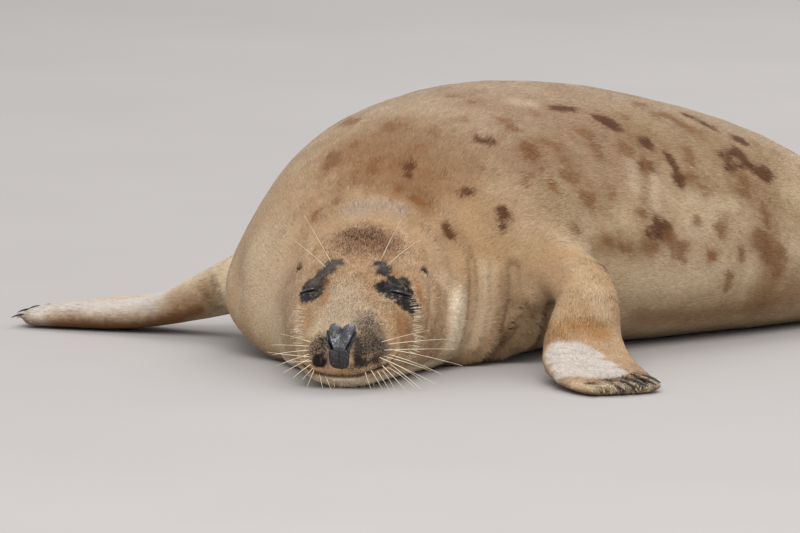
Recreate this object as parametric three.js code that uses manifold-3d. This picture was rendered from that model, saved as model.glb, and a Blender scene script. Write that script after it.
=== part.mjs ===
// A young grey seal (Halichoerus grypus) resting on its belly, life size, in millimetres, +Z up.
// The chin, throat, belly and palms lie on the plane z = 0. The head is turned to the animal's left.
//
// Body places are given along a curved spine: s is the distance back from the tip of the muzzle,
// u is the distance to the animal's left and z is the height above the ground.

import * as THREE from "three";
import Module from "manifold-3d";
import { mergeVertices } from "three/addons/utils/BufferGeometryUtils.js";

const wasm = await Module();
wasm.setup();

// ---------------------------------------------------------------- driving dimensions (mm, degrees)

const GAP = 0.3; // between neighbouring nodes
const BODY_END = 1120; // muzzle to rump, along the spine
const HEAD_END = 188; // the nape crease
const NECK_END = 262;
const CHEST_END = 510;
const BELLY_END = 815;
const SPINE_END = 1300; // past the rump, for the tail and the hind flippers
const MUZZLE_ROUND = 26; // length over which the front of the muzzle rounds off
const RUMP_ROUND = 46;
const MUZZLE_HEIGHT = 38; // height of the foremost point of the muzzle
const RUMP_HEIGHT = 40;

// Heading of the animal along the spine, in degrees from -Y towards +X.
const HEADINGS = [
  [0, 33.5],
  [190, 33.5],
  [280, 22],
  [385, 3],
  [500, -11],
  [800, -17],
  [SPINE_END, -17],
];

// Cross sections: s, half width, back height, height of the widest level, depth of the underside
// before the ground flattens it, roundness of the upper half, roundness of the lower half.
const SECTIONS = [
  [0, 45, 66, 34, 5, 2.3, 2.2],
  [20, 50, 76, 34, 1, 2.3, 2.2],
  [45, 57, 91, 41, -2, 2.3, 2.3],
  [72, 66, 111, 51, -4, 2.35, 2.4],
  [100, 77, 129, 57, -6, 2.3, 2.4],
  [130, 88, 147, 61, -8, 2.2, 2.4],
  [160, 97, 166, 61, -10, 2.15, 2.5],
  [190, 112, 184, 62, -12, 2.1, 2.6],
  [220, 141, 214, 72, -14, 2.05, 2.7],
  [252, 169, 246, 84, -16, 2.0, 2.7],
  [290, 191, 274, 94, -16, 2.0, 2.6],
  [345, 211, 295, 103, -15, 2.0, 2.5],
  [420, 212, 307, 108, -14, 2.0, 2.4],
  [500, 206, 308, 111, -12, 2.0, 2.4],
  [580, 197, 300, 108, -12, 2.0, 2.4],
  [660, 184, 284, 104, -12, 2.0, 2.4],
  [740, 167, 262, 98, -11, 2.0, 2.4],
  [820, 145, 235, 88, -10, 2.0, 2.4],
  [900, 119, 195, 75, -8, 2.0, 2.3],
  [970, 93, 153, 61, -6, 2.0, 2.2],
  [1030, 71, 117, 50, -4, 2.0, 2.1],
  [1080, 56, 93, 43, -1, 2.0, 2.0],
  [1120, 46, 79, 40, 4, 2.0, 2.0],
];
const [WIDTH, TOP, WIDEST, UNDER, ROUND_TOP, ROUND_LOW] = [1, 2, 3, 4, 5, 6];

// Forms of the head, alike on both sides: distances out, back and up, sizes that way, and height.
const HEAD_FORMS = {
  whiskerPads: { at: [25, 4, 38], size: [17, 20, 19], high: 6.5 },
  philtrum: { at: [0, 0, 36], size: [7, 12, 16], high: -3.5 },
  bridge: { at: [0, 42, 92], size: [16, 34, 26], high: 2.5 },
  hollows: { at: [42, 46, 74], size: [15, 18, 20], high: -4.5 },
  sockets: { at: [47, 79, 103], size: [19, 17, 14], high: -3.5 },
  brows: { at: [28, 92, 123], size: [17, 15, 14], high: 3.5 },
  cheeks: { at: [68, 84, 60], size: [22, 26, 24], high: 5 },
  chin: { at: [0, 6, 8], size: [34, 12, 8], high: -2.5 },
  lips: { at: [40, 24, 22], size: [26, 26, 9], high: 2 },
};

// Rolls and creases round the neck: distance back, width and height.
const NAPE_ROLLS = [
  [178, 13, -5],
  [206, 16, 5],
];
const INNER_ROLLS = [
  [214, 10, -9],
  [236, 13, 6],
  [258, 9, -10],
  [274, 9, 4],
];
const OUTER_ROLLS = [
  [196, 13, -5],
  [226, 18, 4],
];
const ROLL_SLANT = 0.1; // how far back a roll leans for each millimetre of height
const ROLL_LEVEL = 60;

// Forms of the trunk: distance back and its size, height and its size, height of the form,
// and how far to the side it begins and is full. side is 1 for the left, -1 for the right.
const TRUNK_FORMS = [
  { form: "left shoulder", side: 1, s: [318, 58], z: [142, 60], high: 14, from: [40, 120] },
  { form: "right shoulder", side: -1, s: [312, 58], z: [90, 60], high: 13, from: [40, 120] },
  { form: "right breast", side: -1, s: [250, 62], z: [66, 52], high: 25, from: [50, 140] },
  { form: "right breast, lower edge", side: -1, s: [246, 60], z: [0, 24], high: -12, from: [120, 190] },
  { form: "throat", side: -1, s: [176, 34], z: [8, 26], high: 13, from: [40, 90] },
  { form: "left armpit", side: 1, s: [412, 46], z: [66, 46], high: -8, from: [60, 150] },
  { form: "right armpit", side: -1, s: [412, 46], z: [66, 46], high: -8, from: [60, 150] },
  { form: "left hip", side: 1, s: [930, 70], z: [80, 50], high: 4, from: [20, 60] },
  { form: "right hip", side: -1, s: [930, 70], z: [80, 50], high: 4, from: [20, 60] },
];

const EYE = { s: 84, u: 49, long: 31, high: 18, turn: 24, tilt: -4, seat: 7 };
const LID = { long: 0.56, high: 0.62, deep: 9.5, sunk: 5.5 }; // the lids' ball: shares of the eye, mm
const LID_SLIT = { half: 0.43, sag: 3.6, wide: 1.6, depth: 0.2 };
const EAR = { s: 136, u: 71, radius: 4.5, depth: 9 };
const NOSE = { top: 75, half: 17.5, waistZ: 49, waist: 11.5, bottom: 24, depth: 22, proud: 1.2 };
const NOSTRIL = { upper: [14.6, 69], lower: [8.8, 49], wide: 3.2, depth: 13 };
const MOUTH = { front: 15, cornerS: 56, cornerZ: 40, open: 1.6, depth: 5, power: 1.5, ahead: 14 };
const CLEAR = 12; // how far a cutter stands out of the skin

// Foreflippers, in the frame of the chest at FLIPPER_S: [out to the side, back, height],
// half chord, half thickness. The hand starts at the wrist.
const FLIPPER_S = 340;
const FORE = {
  left: {
    side: 1,
    path: [
      [150, 18, 102, 40, 34],
      [206, -4, 110, 40, 33],
      [246, -31, 101, 43, 31],
      [271, -58, 76, 45, 28],
      [276, -73, 46, 49, 20],
      [302, -101, 22, 56, 15],
      [354, -143, 10.5, 58, 11.5],
      [392, -168, 7, 50, 8.5],
    ],
    wrist: 0.68,
  },
  right: {
    side: -1,
    path: [
      [120, 20, 80, 52, 38],
      [205, 4, 74, 52, 40],
      [268, -12, 54, 47, 31],
      [325, -24, 32, 44, 22],
      [378, -32, 21, 46, 19.5],
      [430, -42, 17, 48, 17.5],
      [500, -60, 11, 42, 11.5],
    ],
    wrist: 0.62,
  },
};
const FORE_MESH = { rings: 13, segments: 14 };
const DIGIT_REACH = [1.0, 0.99, 0.95, 0.88, 0.79]; // of the hand, from the leading edge back
const DIGIT = { thick: 8.5, tipThick: 5, proud: 2.5, beyond: 16 };
const CLAW = { long: 20, root: 3.4, sunk: 5, droop: 4.5, rise: 1.6 };
const DIGIT_SPREAD = { edge: 0.84, wrist: 0.55, tip: 0.98 }; // shares of the hand's half width
const DIGIT_LEAST = 4; // a digit that reaches less than this past the web ends in it

// Hind flippers, in the frame of the spine at HIND_S: soles turned in, lower edge on the ground.
const HIND_S = 1068;
const HIND = {
  path: [
    [26, -20, 42, 26, 18],
    [37, 38, 39, 25, 15],
    [46, 88, 35, 30, 12],
    [55, 138, 34, 39, 9],
    [63, 186, 34, 47, 6],
    [67, 222, 35, 50, 3],
  ],
  tilt: 58,
  ankle: 0.45,
};
const HIND_MESH = { rings: 8, segments: 12 };
const TOE_REACH = [1.0, 0.9, 0.84, 0.9, 1.03];
const TOE = { thick: 6, tipThick: 3.2, proud: 1.5, beyond: 20 };
const TOE_CLAW = { long: 11, root: 2, sunk: 3, droop: 1, rise: 1.6 };

const TAIL = { s: 1104, z: 60, sunk: 24, long: 76, half: 20, thick: 9, droop: 22 };
const TAIL_MESH = { rings: 9, segments: 14 };

// How finely the body is divided.
const HEAD_SEGMENTS = 54;
const TRUNK_SEGMENTS = 44;
const MUZZLE_RINGS = 7;
const FACE_RINGS = 17;
const FACE_END = 111;
const CROWN_RINGS = 9;
const TRUNK_RINGS = { neck: 9, chest: 11, belly: 7, hindquarters: 7, rump: 5 };

// ---------------------------------------------------------------- small helpers

const rad = THREE.MathUtils.degToRad;
const smooth = THREE.MathUtils.smoothstep;
const lerp = THREE.MathUtils.lerp;
const bell = (d, width) => Math.exp(-((d / width) ** 2));

// Smooth curve through rows of numbers, keyed by their first column.
function along(rows, column, s) {
  const last = rows.length - 1;
  if (s <= rows[0][0]) {
    return rows[0][column];
  }
  if (s >= rows[last][0]) {
    return rows[last][column];
  }
  let i = 0;
  while (rows[i + 1][0] < s) {
    i++;
  }
  const slope = (k) => {
    const a = rows[Math.max(k - 1, 0)];
    const b = rows[Math.min(k + 1, last)];
    return (b[column] - a[column]) / (b[0] - a[0]);
  };
  const [p, q] = [rows[i], rows[i + 1]];
  const h = q[0] - p[0];
  const t = (s - p[0]) / h;
  return (
    (1 + 2 * t) * (1 - t) ** 2 * p[column] +
    t * (1 - t) ** 2 * h * slope(i) +
    t * t * (3 - 2 * t) * q[column] +
    t * t * (t - 1) * h * slope(i + 1)
  );
}

// ---------------------------------------------------------------- the spine

const SPINE_STEP = 5;
const spinePoints = [new THREE.Vector3(0, 0, 0)];
for (let s = 0; s < SPINE_END; s += SPINE_STEP) {
  const heading = rad(along(HEADINGS, 1, s + SPINE_STEP / 2));
  const step = new THREE.Vector3(-Math.sin(heading), Math.cos(heading), 0);
  spinePoints.push(spinePoints.at(-1).clone().addScaledVector(step, SPINE_STEP));
}

// The spine's own frame at s: where it is, and which way left and back are.
function spine(s) {
  const k = Math.max(s, 0) / SPINE_STEP;
  const i = Math.floor(k);
  const heading = rad(along(HEADINGS, 1, s));
  return {
    at: spinePoints[i].clone().lerp(spinePoints[i + 1], k - i),
    left: new THREE.Vector3(Math.cos(heading), Math.sin(heading), 0),
    back: new THREE.Vector3(-Math.sin(heading), Math.cos(heading), 0),
  };
}

function place(frame, u, back, z) {
  return frame.at
    .clone()
    .addScaledVector(frame.left, u)
    .addScaledVector(frame.back, back)
    .setZ(z);
}

// ---------------------------------------------------------------- the body's surface

const power = (x, p) => Math.sign(x) * Math.abs(x) ** p;

// Rounds the two ends of the body off, as a quarter ellipse does.
function endRounding(s) {
  const front = Math.min(s / MUZZLE_ROUND, 1);
  const rear = Math.min((BODY_END - s) / RUMP_ROUND, 1);
  return Math.sqrt(Math.max(0, 1 - (1 - front) ** 2)) * Math.sqrt(Math.max(0, 1 - (1 - rear) ** 2));
}

// Plain section: left-right place and height at the angle phi, 0 being the left side and 90 the back.
function section(s, phi) {
  const row = (column) => along(SECTIONS, column, s);
  const round = endRounding(s);
  const pole = s < BODY_END / 2 ? MUZZLE_HEIGHT : RUMP_HEIGHT;
  const level = lerp(pole, row(WIDEST), round);
  const upper = Math.sin(phi) >= 0;
  const n = row(upper ? ROUND_TOP : ROUND_LOW);
  const reach = (row(upper ? TOP : UNDER) - row(WIDEST)) * round;
  return {
    u: row(WIDTH) * round * power(Math.cos(phi), 2 / n),
    z: level + reach * Math.abs(Math.sin(phi)) ** (2 / n),
  };
}

// A rounded swelling (or hollow, if high is negative), on both sides of the head.
function swelling(p, { at, size, high }) {
  const distance = [Math.abs(p.u), p.s, p.z];
  return at.reduce((height, centre, k) => height * bell(distance[k] - centre, size[k]), high);
}

function headRelief(p) {
  return Object.values(HEAD_FORMS).reduce((sum, form) => sum + swelling(p, form), 0);
}

// Rolls of the neck: a crease behind the crown, and folds on either side, deeper inside the bend.
function neckRelief(p) {
  const lean = ROLL_SLANT * (p.z - ROLL_LEVEL);
  const rolls = (rows, s) => rows.reduce((sum, [at, width, high]) => sum + high * bell(s - at, width), 0);
  const crown = smooth(p.z, 60, 150);
  const inside = smooth(p.u, 20, 90) * (1 - smooth(p.z, 130, 230));
  const outside = smooth(-p.u, 20, 90) * (1 - smooth(p.z, 110, 200));
  return (
    crown * rolls(NAPE_ROLLS, p.s) +
    inside * rolls(INNER_ROLLS, p.s - lean) +
    outside * rolls(OUTER_ROLLS, p.s)
  );
}

function trunkRelief(p) {
  return TRUNK_FORMS.reduce((sum, { side, s, z, high, from }) => {
    const there = smooth(side * p.u, ...from);
    return sum + high * there * bell(p.s - s[0], s[1]) * bell(p.z - z[0], z[1]);
  }, 0);
}

function relief(p) {
  return headRelief(p) + neckRelief(p) + trunkRelief(p);
}

function plainPoint(s, phi) {
  const { u, z } = section(s, phi);
  return place(spine(s), u, 0, z);
}

// A point of the finished skin. offset moves it out along the surface's normal.
function skinPoint(s, phi, offset = 0, ground = 0) {
  const frame = spine(s);
  const local = { s, ...section(s, phi) };
  const low = Math.max(s - 1, 0.05);
  const high = Math.min(s + 1, BODY_END - 0.05);
  const alongBody = plainPoint(high, phi).sub(plainPoint(low, phi));
  const round = plainPoint(s, phi + 0.02).sub(plainPoint(s, phi - 0.02));
  const normal = alongBody.cross(round).normalize();
  const inPlane = normal.clone().addScaledVector(frame.back, -normal.dot(frame.back)).normalize();
  // Between the head and the rump a point stays in its own section.
  const sectioned = smooth(s, 110, 150) * (1 - smooth(s, BODY_END - 90, BODY_END - 50));
  normal.lerp(inPlane, sectioned).normalize();
  const point = place(frame, local.u, 0, local.z).addScaledVector(normal, relief(local) + offset);
  point.z = Math.max(point.z, ground);
  return point;
}

// ---------------------------------------------------------------- closed surfaces

// A closed surface through rings of points. Each end closes on a point: its own, or its ring's middle.
function loft(rings, startPoint, endPoint) {
  const count = rings[0].length;
  const middle = (ring) =>
    ring.reduce((sum, p) => sum.add(p), new THREE.Vector3()).divideScalar(count);
  const ends = [startPoint ?? middle(rings[0]), endPoint ?? middle(rings.at(-1))];
  const points = [...rings.flat(), ...ends];
  const [start, end] = [points.length - 2, points.length - 1];
  const faces = [];
  for (let k = 0; k < count; k++) {
    const next = (k + 1) % count;
    faces.push([start, next, k]);
    for (let r = 0; r + 1 < rings.length; r++) {
      const [a, b] = [r * count + k, r * count + next];
      faces.push([a, b, a + count], [b, b + count, a + count]);
    }
    faces.push([end, (rings.length - 1) * count + k, (rings.length - 1) * count + next]);
  }
  const volume = faces.reduce(
    (sum, [a, b, c]) => sum + points[a].dot(points[b].clone().cross(points[c])),
    0,
  );
  if (volume < 0) {
    faces.forEach((face) => face.reverse());
  }
  return new THREE.BufferGeometry()
    .setAttribute("position", new THREE.Float32BufferAttribute(points.flatMap((p) => p.toArray()), 3))
    .setIndex(faces.flat());
}

function solidOf(geometry) {
  const bare = geometry.clone();
  bare.deleteAttribute("normal");
  bare.deleteAttribute("uv");
  const merged = mergeVertices(bare, 1e-4);
  return new wasm.Manifold(
    new wasm.Mesh({
      numProp: 3,
      vertProperties: new Float32Array(merged.attributes.position.array),
      triVerts: new Uint32Array(merged.index.array),
    }),
  );
}

function largest(solid) {
  return solid.decompose().reduce((a, b) => (a.volume() > b.volume() ? a : b));
}

function geometryOf(solid) {
  const mesh = largest(solid).getMesh();
  return new THREE.BufferGeometry()
    .setAttribute("position", new THREE.BufferAttribute(mesh.vertProperties, 3))
    .setIndex(new THREE.BufferAttribute(mesh.triVerts, 1));
}

// A length of the body as a solid. An end ring lies in the flat plane across the spine at the cut.
function bodyLength(from, to, rings, segments, offset = 0, ground = 0) {
  const angles = Array.from({ length: segments }, (_, k) => (k / segments) * 2 * Math.PI);
  const ring = (s) => angles.map((phi) => skinPoint(s, phi, offset, ground));
  const cut = (s, shift) => {
    const { back } = spine(s);
    return ring(s).map((p) => p.addScaledVector(back, shift));
  };
  const inner = rings.filter((s) => s > from && s < to);
  const list = inner.map(ring);
  const tip = (s, phi) => skinPoint(s, phi, offset, ground);
  if (from > 0) {
    list.unshift(cut(from, GAP / 2));
  }
  if (to < BODY_END) {
    list.push(cut(to, -GAP / 2));
  }
  const startPoint = from > 0 ? undefined : tip(0.02, Math.PI / 2);
  const endPoint = to < BODY_END ? undefined : tip(BODY_END - 0.02, Math.PI / 2);
  return loft(list, startPoint, endPoint);
}

const steps = (from, to, count) =>
  Array.from({ length: count }, (_, k) => from + ((to - from) * (k + 1)) / (count + 1));

// Places of the rings over a rounded end of this length, closer together towards its tip.
const roundedEnd = (length, count) =>
  Array.from({ length: count }, (_, k) => length * (1 - Math.cos(((k + 1) / count) * (Math.PI / 2))));

// Rings of the head lie close together on the muzzle and face.
const headRings = [
  ...roundedEnd(MUZZLE_ROUND, MUZZLE_RINGS),
  ...steps(MUZZLE_ROUND, FACE_END, FACE_RINGS),
  ...steps(FACE_END, HEAD_END, CROWN_RINGS),
];

// ---------------------------------------------------------------- parts of the face

// A point on the upper face, u to the left, with the direction straight out of the skin there.
function facePoint(s, u) {
  const half = along(SECTIONS, WIDTH, s) * endRounding(s);
  const n = along(SECTIONS, ROUND_TOP, s);
  const phi = Math.acos(power(u / half, n / 2));
  const [turn, reach] = [0.1, 7];
  const round = skinPoint(s, phi + turn).sub(skinPoint(s, phi - turn));
  const back = skinPoint(s + reach, phi).sub(skinPoint(s - reach, phi));
  return { at: skinPoint(s, phi), out: back.cross(round).normalize() };
}

// An outline pushed along the direction out, from low to high over the point at.
function pushed(shape, at, across, out, low, high, curveSegments = 10) {
  const up = out.clone().cross(across).normalize();
  const side = up.clone().cross(out).normalize();
  const geometry = new THREE.ExtrudeGeometry(shape, {
    depth: high - low,
    bevelEnabled: false,
    curveSegments,
  });
  const turn = new THREE.Matrix4().makeBasis(side, up, out);
  turn.setPosition(at.clone().addScaledVector(out, low));
  return solidOf(geometry.applyMatrix4(turn));
}

// The closed eye's almond outline, grown by extra.
function almond(long, high, extra) {
  const [a, b] = [long / 2 + extra, high / 2 + extra];
  const shape = new THREE.Shape().moveTo(-a, 0);
  shape.bezierCurveTo(-a * 0.5, b * 1.25, a * 0.5, b * 1.25, a, 0);
  shape.bezierCurveTo(a * 0.5, -b * 1.25, -a * 0.5, -b * 1.25, -a, 0);
  return shape;
}

// The narrow arc where the two lids meet.
function lidLine() {
  const half = EYE.long * LID_SLIT.half;
  const { sag, wide } = LID_SLIT;
  const shape = new THREE.Shape().moveTo(-half, wide / 4);
  shape.quadraticCurveTo(0, -sag, half, wide / 4);
  shape.lineTo(half, -wide / 2);
  shape.quadraticCurveTo(0, -sag - wide, -half, -wide / 2);
  return shape;
}

function eyeFrame(side) {
  const head = spine(EYE.s);
  const { at, out } = facePoint(EYE.s, side * EYE.u);
  const slitWay = head.left
    .clone()
    .multiplyScalar(side * Math.cos(rad(EYE.turn)))
    .addScaledVector(head.back, Math.sin(rad(EYE.turn)));
  slitWay.z = Math.sin(rad(EYE.tilt));
  return { at, out, slitWay: slitWay.multiplyScalar(side) };
}

// The nose pad seen from the front: two lobes above, drawn in to a waist and a narrow foot.
function noseOutline(extra) {
  const { top, half, waistZ, waist, bottom } = NOSE;
  const h = half + extra;
  const w = waist + extra;
  const shape = new THREE.Shape().moveTo(0, top - 3 + extra);
  shape.quadraticCurveTo(h * 0.5, top + 3 + extra, h, top - 3);
  shape.quadraticCurveTo(h * 1.02, top - 12, w, waistZ);
  shape.quadraticCurveTo(w * 0.8, bottom + 8, w * 0.8, bottom - extra);
  shape.lineTo(-w * 0.8, bottom - extra);
  shape.quadraticCurveTo(-w * 0.8, bottom + 8, -w, waistZ);
  shape.quadraticCurveTo(-h * 1.02, top - 12, -h, top - 3);
  shape.quadraticCurveTo(-h * 0.5, top + 3 + extra, 0, top - 3 + extra);
  return shape;
}

function noseBlock(extra) {
  const head = spine(0);
  const origin = head.at.clone();
  const forward = head.back.clone().negate();
  const depth = NOSE.depth + extra;
  return pushed(noseOutline(extra), origin, head.left, forward, -depth, CLEAR, 6);
}

function nostril(side) {
  const head = spine(0);
  const [[u1, z1], [u0, z0]] = [NOSTRIL.upper, NOSTRIL.lower];
  const half = NOSTRIL.wide / 2;
  const shape = new THREE.Shape().moveTo(side * (u0 - half * 0.5), z0);
  shape.quadraticCurveTo(side * (u0 + 1), (z0 + z1) / 2, side * (u1 - half * 1.4), z1);
  shape.lineTo(side * (u1 + half * 0.7), z1 + 0.8);
  shape.quadraticCurveTo(side * (u1 + half * 0.6), (z0 + z1) / 2, side * (u0 + half * 0.5), z0);
  const forward = head.back.clone().negate();
  return pushed(shape, head.at.clone(), head.left, forward, -NOSTRIL.depth, CLEAR, 5);
}

// The line of the mouth, cut a little way in from the surface.
function mouthSlit(deepHead) {
  const count = 12;
  const reach = SECTIONS.find((row) => row[0] > MOUTH.cornerS)[WIDTH] * 1.4;
  const line = Array.from({ length: count + 1 }, (_, k) => {
    const s = lerp(-MOUTH.ahead, MOUTH.cornerS, k / count);
    const rise = Math.max(0, s / MOUTH.cornerS) ** MOUTH.power;
    const open = (MOUTH.open / 2) * (1 - 0.6 * (k / count));
    return { s, z: lerp(MOUTH.front, MOUTH.cornerZ, rise), open };
  });
  const upper = line.map(({ s, z, open }) => new THREE.Vector2(-s, z + open));
  const lower = line.map(({ s, z, open }) => new THREE.Vector2(-s, z - open));
  const shape = new THREE.Shape([...upper, ...lower.reverse()]);
  const head = spine(0);
  const forward = head.back.clone().negate();
  const right = head.left.clone().negate();
  return pushed(shape, head.at.clone(), forward, right, -reach, reach, 1).subtract(deepHead);
}

// ---------------------------------------------------------------- limbs

// Rings of a flat limb along its path. The path's rows are [out, back, height, half chord, half thickness].
function limbRings(path, frame, side, count, segments, tilt = 0, grow = 0) {
  const rows = path.map((row, k) => [k / (path.length - 1), ...row]);
  const value = (column, t) => along(rows, column, t);
  const at = (t) => place(frame, side * value(1, t), value(2, t), value(3, t));
  const way = (t, window) => at(Math.min(t + window, 1)).sub(at(Math.max(t - window, 0)));
  const up = new THREE.Vector3(0, 0, 1);
  return Array.from({ length: count }, (_, i) => {
    const t = i / (count - 1);
    const here = at(t);
    const ahead = way(t, 0.01).normalize();
    const chord = way(t, 0.3).cross(up).normalize();
    const normal = chord.clone().cross(ahead).normalize();
    chord.applyAxisAngle(ahead, side * rad(tilt));
    normal.applyAxisAngle(ahead, side * rad(tilt));
    const [halfChord, halfThick] = [value(4, t) + grow, value(5, t) + grow];
    return {
      here,
      ahead,
      chord,
      normal,
      halfChord,
      halfThick,
      ring: Array.from({ length: segments }, (_, k) => {
        const angle = (k / segments) * 2 * Math.PI;
        const point = here
          .clone()
          .addScaledVector(chord, halfChord * power(Math.cos(angle), 0.8))
          .addScaledVector(normal, halfThick * power(Math.sin(angle), 0.9));
        point.z = Math.max(point.z, 0);
        return point;
      }),
    };
  });
}

// The last ring of a limb, drawn in and carried on a little, so that the web ends in a round edge.
function webEdge(last) {
  return last.ring.map((point) => {
    const edge = point.clone().lerp(last.here, 0.45).addScaledVector(last.ahead, last.halfThick);
    return edge.setZ(Math.max(edge.z, 0));
  });
}

// A tapered tube with a round end, through points, each with its own half width and half height.
function digitSolid(points, segments = 5) {
  const up = new THREE.Vector3(0, 0, 1);
  const rings = points.map(({ at, wide, thick }, i) => {
    const before = points[Math.max(i - 1, 0)].at;
    const after = points[Math.min(i + 1, points.length - 1)].at;
    const ahead = after.clone().sub(before).normalize();
    const across = ahead.clone().cross(up).normalize();
    const rise = across.clone().cross(ahead).normalize();
    return Array.from({ length: segments }, (_, k) => {
      const angle = (k / segments) * 2 * Math.PI;
      const point = at
        .clone()
        .addScaledVector(across, wide * Math.cos(angle))
        .addScaledVector(rise, thick * Math.sin(angle));
      point.z = Math.max(point.z, 0);
      return point;
    });
  });
  return solidOf(loft(rings));
}

// Fingers or toes on a limb: ridges from the wrist out, each past the web's edge by its own reach.
function digitsOf(rings, wrist, reaches, size) {
  const last = rings.at(-1);
  const first = Math.round(wrist * (rings.length - 1));
  return reaches.map((reach, i) => {
    const share = lerp(-DIGIT_SPREAD.edge, DIGIT_SPREAD.edge, i / (reaches.length - 1));
    const track = rings.slice(first).map((r, k, list) => {
      const t = k / (list.length - 1);
      const spread = share * lerp(DIGIT_SPREAD.wrist, DIGIT_SPREAD.tip, t);
      const thick = lerp(size.thick, size.tipThick, t);
      const lift = r.halfThick * Math.sqrt(1 - spread * spread) - thick + size.proud;
      return {
        at: r.here
          .clone()
          .addScaledVector(r.chord, spread * (r.halfChord - thick * 0.4))
          .addScaledVector(r.normal, Math.max(lift, 0)),
        thick,
      };
    });
    const tip = track.at(-1);
    const before = track.at(-2);
    const handLength = last.here.distanceTo(rings[first].here);
    const beyond = size.beyond - (1 - reach) * handLength;
    const ahead = tip.at.clone().sub(before.at).normalize();
    const trimmed = track.filter((p, k) => k < track.length - 1 || beyond > -DIGIT_LEAST);
    if (beyond > DIGIT_LEAST) {
      const past = (share) => tip.at.clone().addScaledVector(ahead, beyond * share);
      trimmed.push({ at: past(0.6), thick: tip.thick * 0.92 });
      trimmed.push({ at: past(1), thick: tip.thick * 0.55 });
    }
    for (const point of trimmed) {
      point.at.setZ(Math.max(point.at.z, point.thick * 0.75));
    }
    return {
      points: trimmed.map(({ at, thick }) => ({ at, wide: thick * 1.05, thick: thick * 0.9 })),
      tip: trimmed.at(-1).at,
      ahead,
    };
  });
}

// A curved, pointed claw that starts inside the digit's tip. grow makes the cutter for its seat.
function clawSolid(digit, size, grow = 0) {
  const rows = [
    [-size.sunk - grow, 0.95, 0],
    [0, 1, 0],
    [size.long * 0.55, 0.75, 0.35],
    [size.long, 0.14, 1],
  ];
  const up = new THREE.Vector3(0, 0, 1);
  const flat = digit.ahead.clone().setZ(digit.ahead.z * 0.4).normalize();
  const points = rows.map(([reach, scale, drop]) => {
    const lift = size.rise - size.droop * drop;
    const at = digit.tip.clone().addScaledVector(flat, reach).addScaledVector(up, lift);
    const thick = size.root * scale + grow;
    at.setZ(Math.max(at.z, thick + GAP));
    return { at, wide: thick * 0.8, thick };
  });
  return digitSolid(points, 6);
}

// ---------------------------------------------------------------- materials

const finish = (color, roughness) => new THREE.MeshStandardMaterial({ color, roughness, metalness: 0 });
const coat = finish(0xb29a78, 0.85);
const darkSkin = finish(0x24211f, 0.5);
const horn = finish(0x2b2725, 0.4);

// ---------------------------------------------------------------- the animal

const seal = new THREE.Group();
seal.name = "grey_seal";

function add(name, solid, material) {
  const mesh = new THREE.Mesh(geometryOf(solid), material);
  mesh.name = name;
  seal.add(mesh);
}

// Head, with seats for the nose and the lids, ear openings and the line of the mouth.
let head = solidOf(bodyLength(0, HEAD_END, headRings, HEAD_SEGMENTS));
const grownHead = solidOf(bodyLength(0, HEAD_END, headRings, HEAD_SEGMENTS, NOSE.proud));
const deepHead = solidOf(bodyLength(6, 120, steps(6, 120, 7), 24, -MOUTH.depth));
head = head.subtract(mouthSlit(deepHead)).subtract(noseBlock(GAP));
const nose = grownHead.intersect(noseBlock(0)).subtract(nostril(1)).subtract(nostril(-1));
add("nose", nose, darkSkin);

// The lids of a closed eye: a low ball standing out of the head, with the slit between the lids.
function eyelids(side) {
  const { at, out, slitWay } = eyeFrame(side);
  const outline = (extra) => almond(EYE.long, EYE.high, extra);
  const seat = pushed(outline(GAP), at, slitWay, out, -EYE.seat - GAP, CLEAR);
  const block = pushed(outline(0), at, slitWay, out, -EYE.seat, CLEAR);
  const ball = new THREE.SphereGeometry(1, 16, 10);
  ball.scale(EYE.long * LID.long, EYE.high * LID.high, LID.deep);
  const across = slitWay.clone().addScaledVector(out, -slitWay.dot(out)).normalize();
  const turn = new THREE.Matrix4().makeBasis(across, out.clone().cross(across), out);
  turn.setPosition(at.clone().addScaledVector(out, -LID.sunk));
  const slit = pushed(lidLine(), at, slitWay, out, LID_SLIT.depth, CLEAR, 8);
  const lids = block.intersect(head.add(solidOf(ball.applyMatrix4(turn)))).subtract(slit);
  return { lids, seat };
}

function earHole(side) {
  const ear = facePoint(EAR.s, side * EAR.u);
  const hole = new THREE.CylinderGeometry(EAR.radius, EAR.radius * 0.5, EAR.depth * 2, 10);
  const aim = new THREE.Quaternion().setFromUnitVectors(new THREE.Vector3(0, 1, 0), ear.out);
  return solidOf(hole.applyQuaternion(aim).translate(...ear.at.toArray()));
}

for (const [name, side] of [["left", 1], ["right", -1]]) {
  const { lids, seat } = eyelids(side);
  add(`eyelids_${name}`, lids, darkSkin);
  head = head.subtract(seat).subtract(earHole(side));
}
add("head", head, coat);

// Neck, chest, belly and hindquarters.
const rumpRings = roundedEnd(RUMP_ROUND, TRUNK_RINGS.rump)
  .map((reach) => BODY_END - reach)
  .reverse();
const hindRings = [...steps(BELLY_END, rumpRings[0], TRUNK_RINGS.hindquarters), ...rumpRings];
const lengths = [
  ["neck", HEAD_END, NECK_END, steps(HEAD_END, NECK_END, TRUNK_RINGS.neck)],
  ["chest", NECK_END, CHEST_END, steps(NECK_END, CHEST_END, TRUNK_RINGS.chest)],
  ["belly", CHEST_END, BELLY_END, steps(CHEST_END, BELLY_END, TRUNK_RINGS.belly)],
  ["hindquarters", BELLY_END, BODY_END, hindRings],
];
for (const [name, from, to, rings] of lengths) {
  add(name, solidOf(bodyLength(from, to, rings, TRUNK_SEGMENTS)), coat);
}

// The trunk grown by the gap, to cut the limbs clear of it.
const trunkRings = lengths.flatMap(([, from, , rings]) => [from, ...rings]).slice(1);
const grownTrunk = solidOf(bodyLength(HEAD_END, BODY_END, trunkRings, TRUNK_SEGMENTS, GAP));

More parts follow.
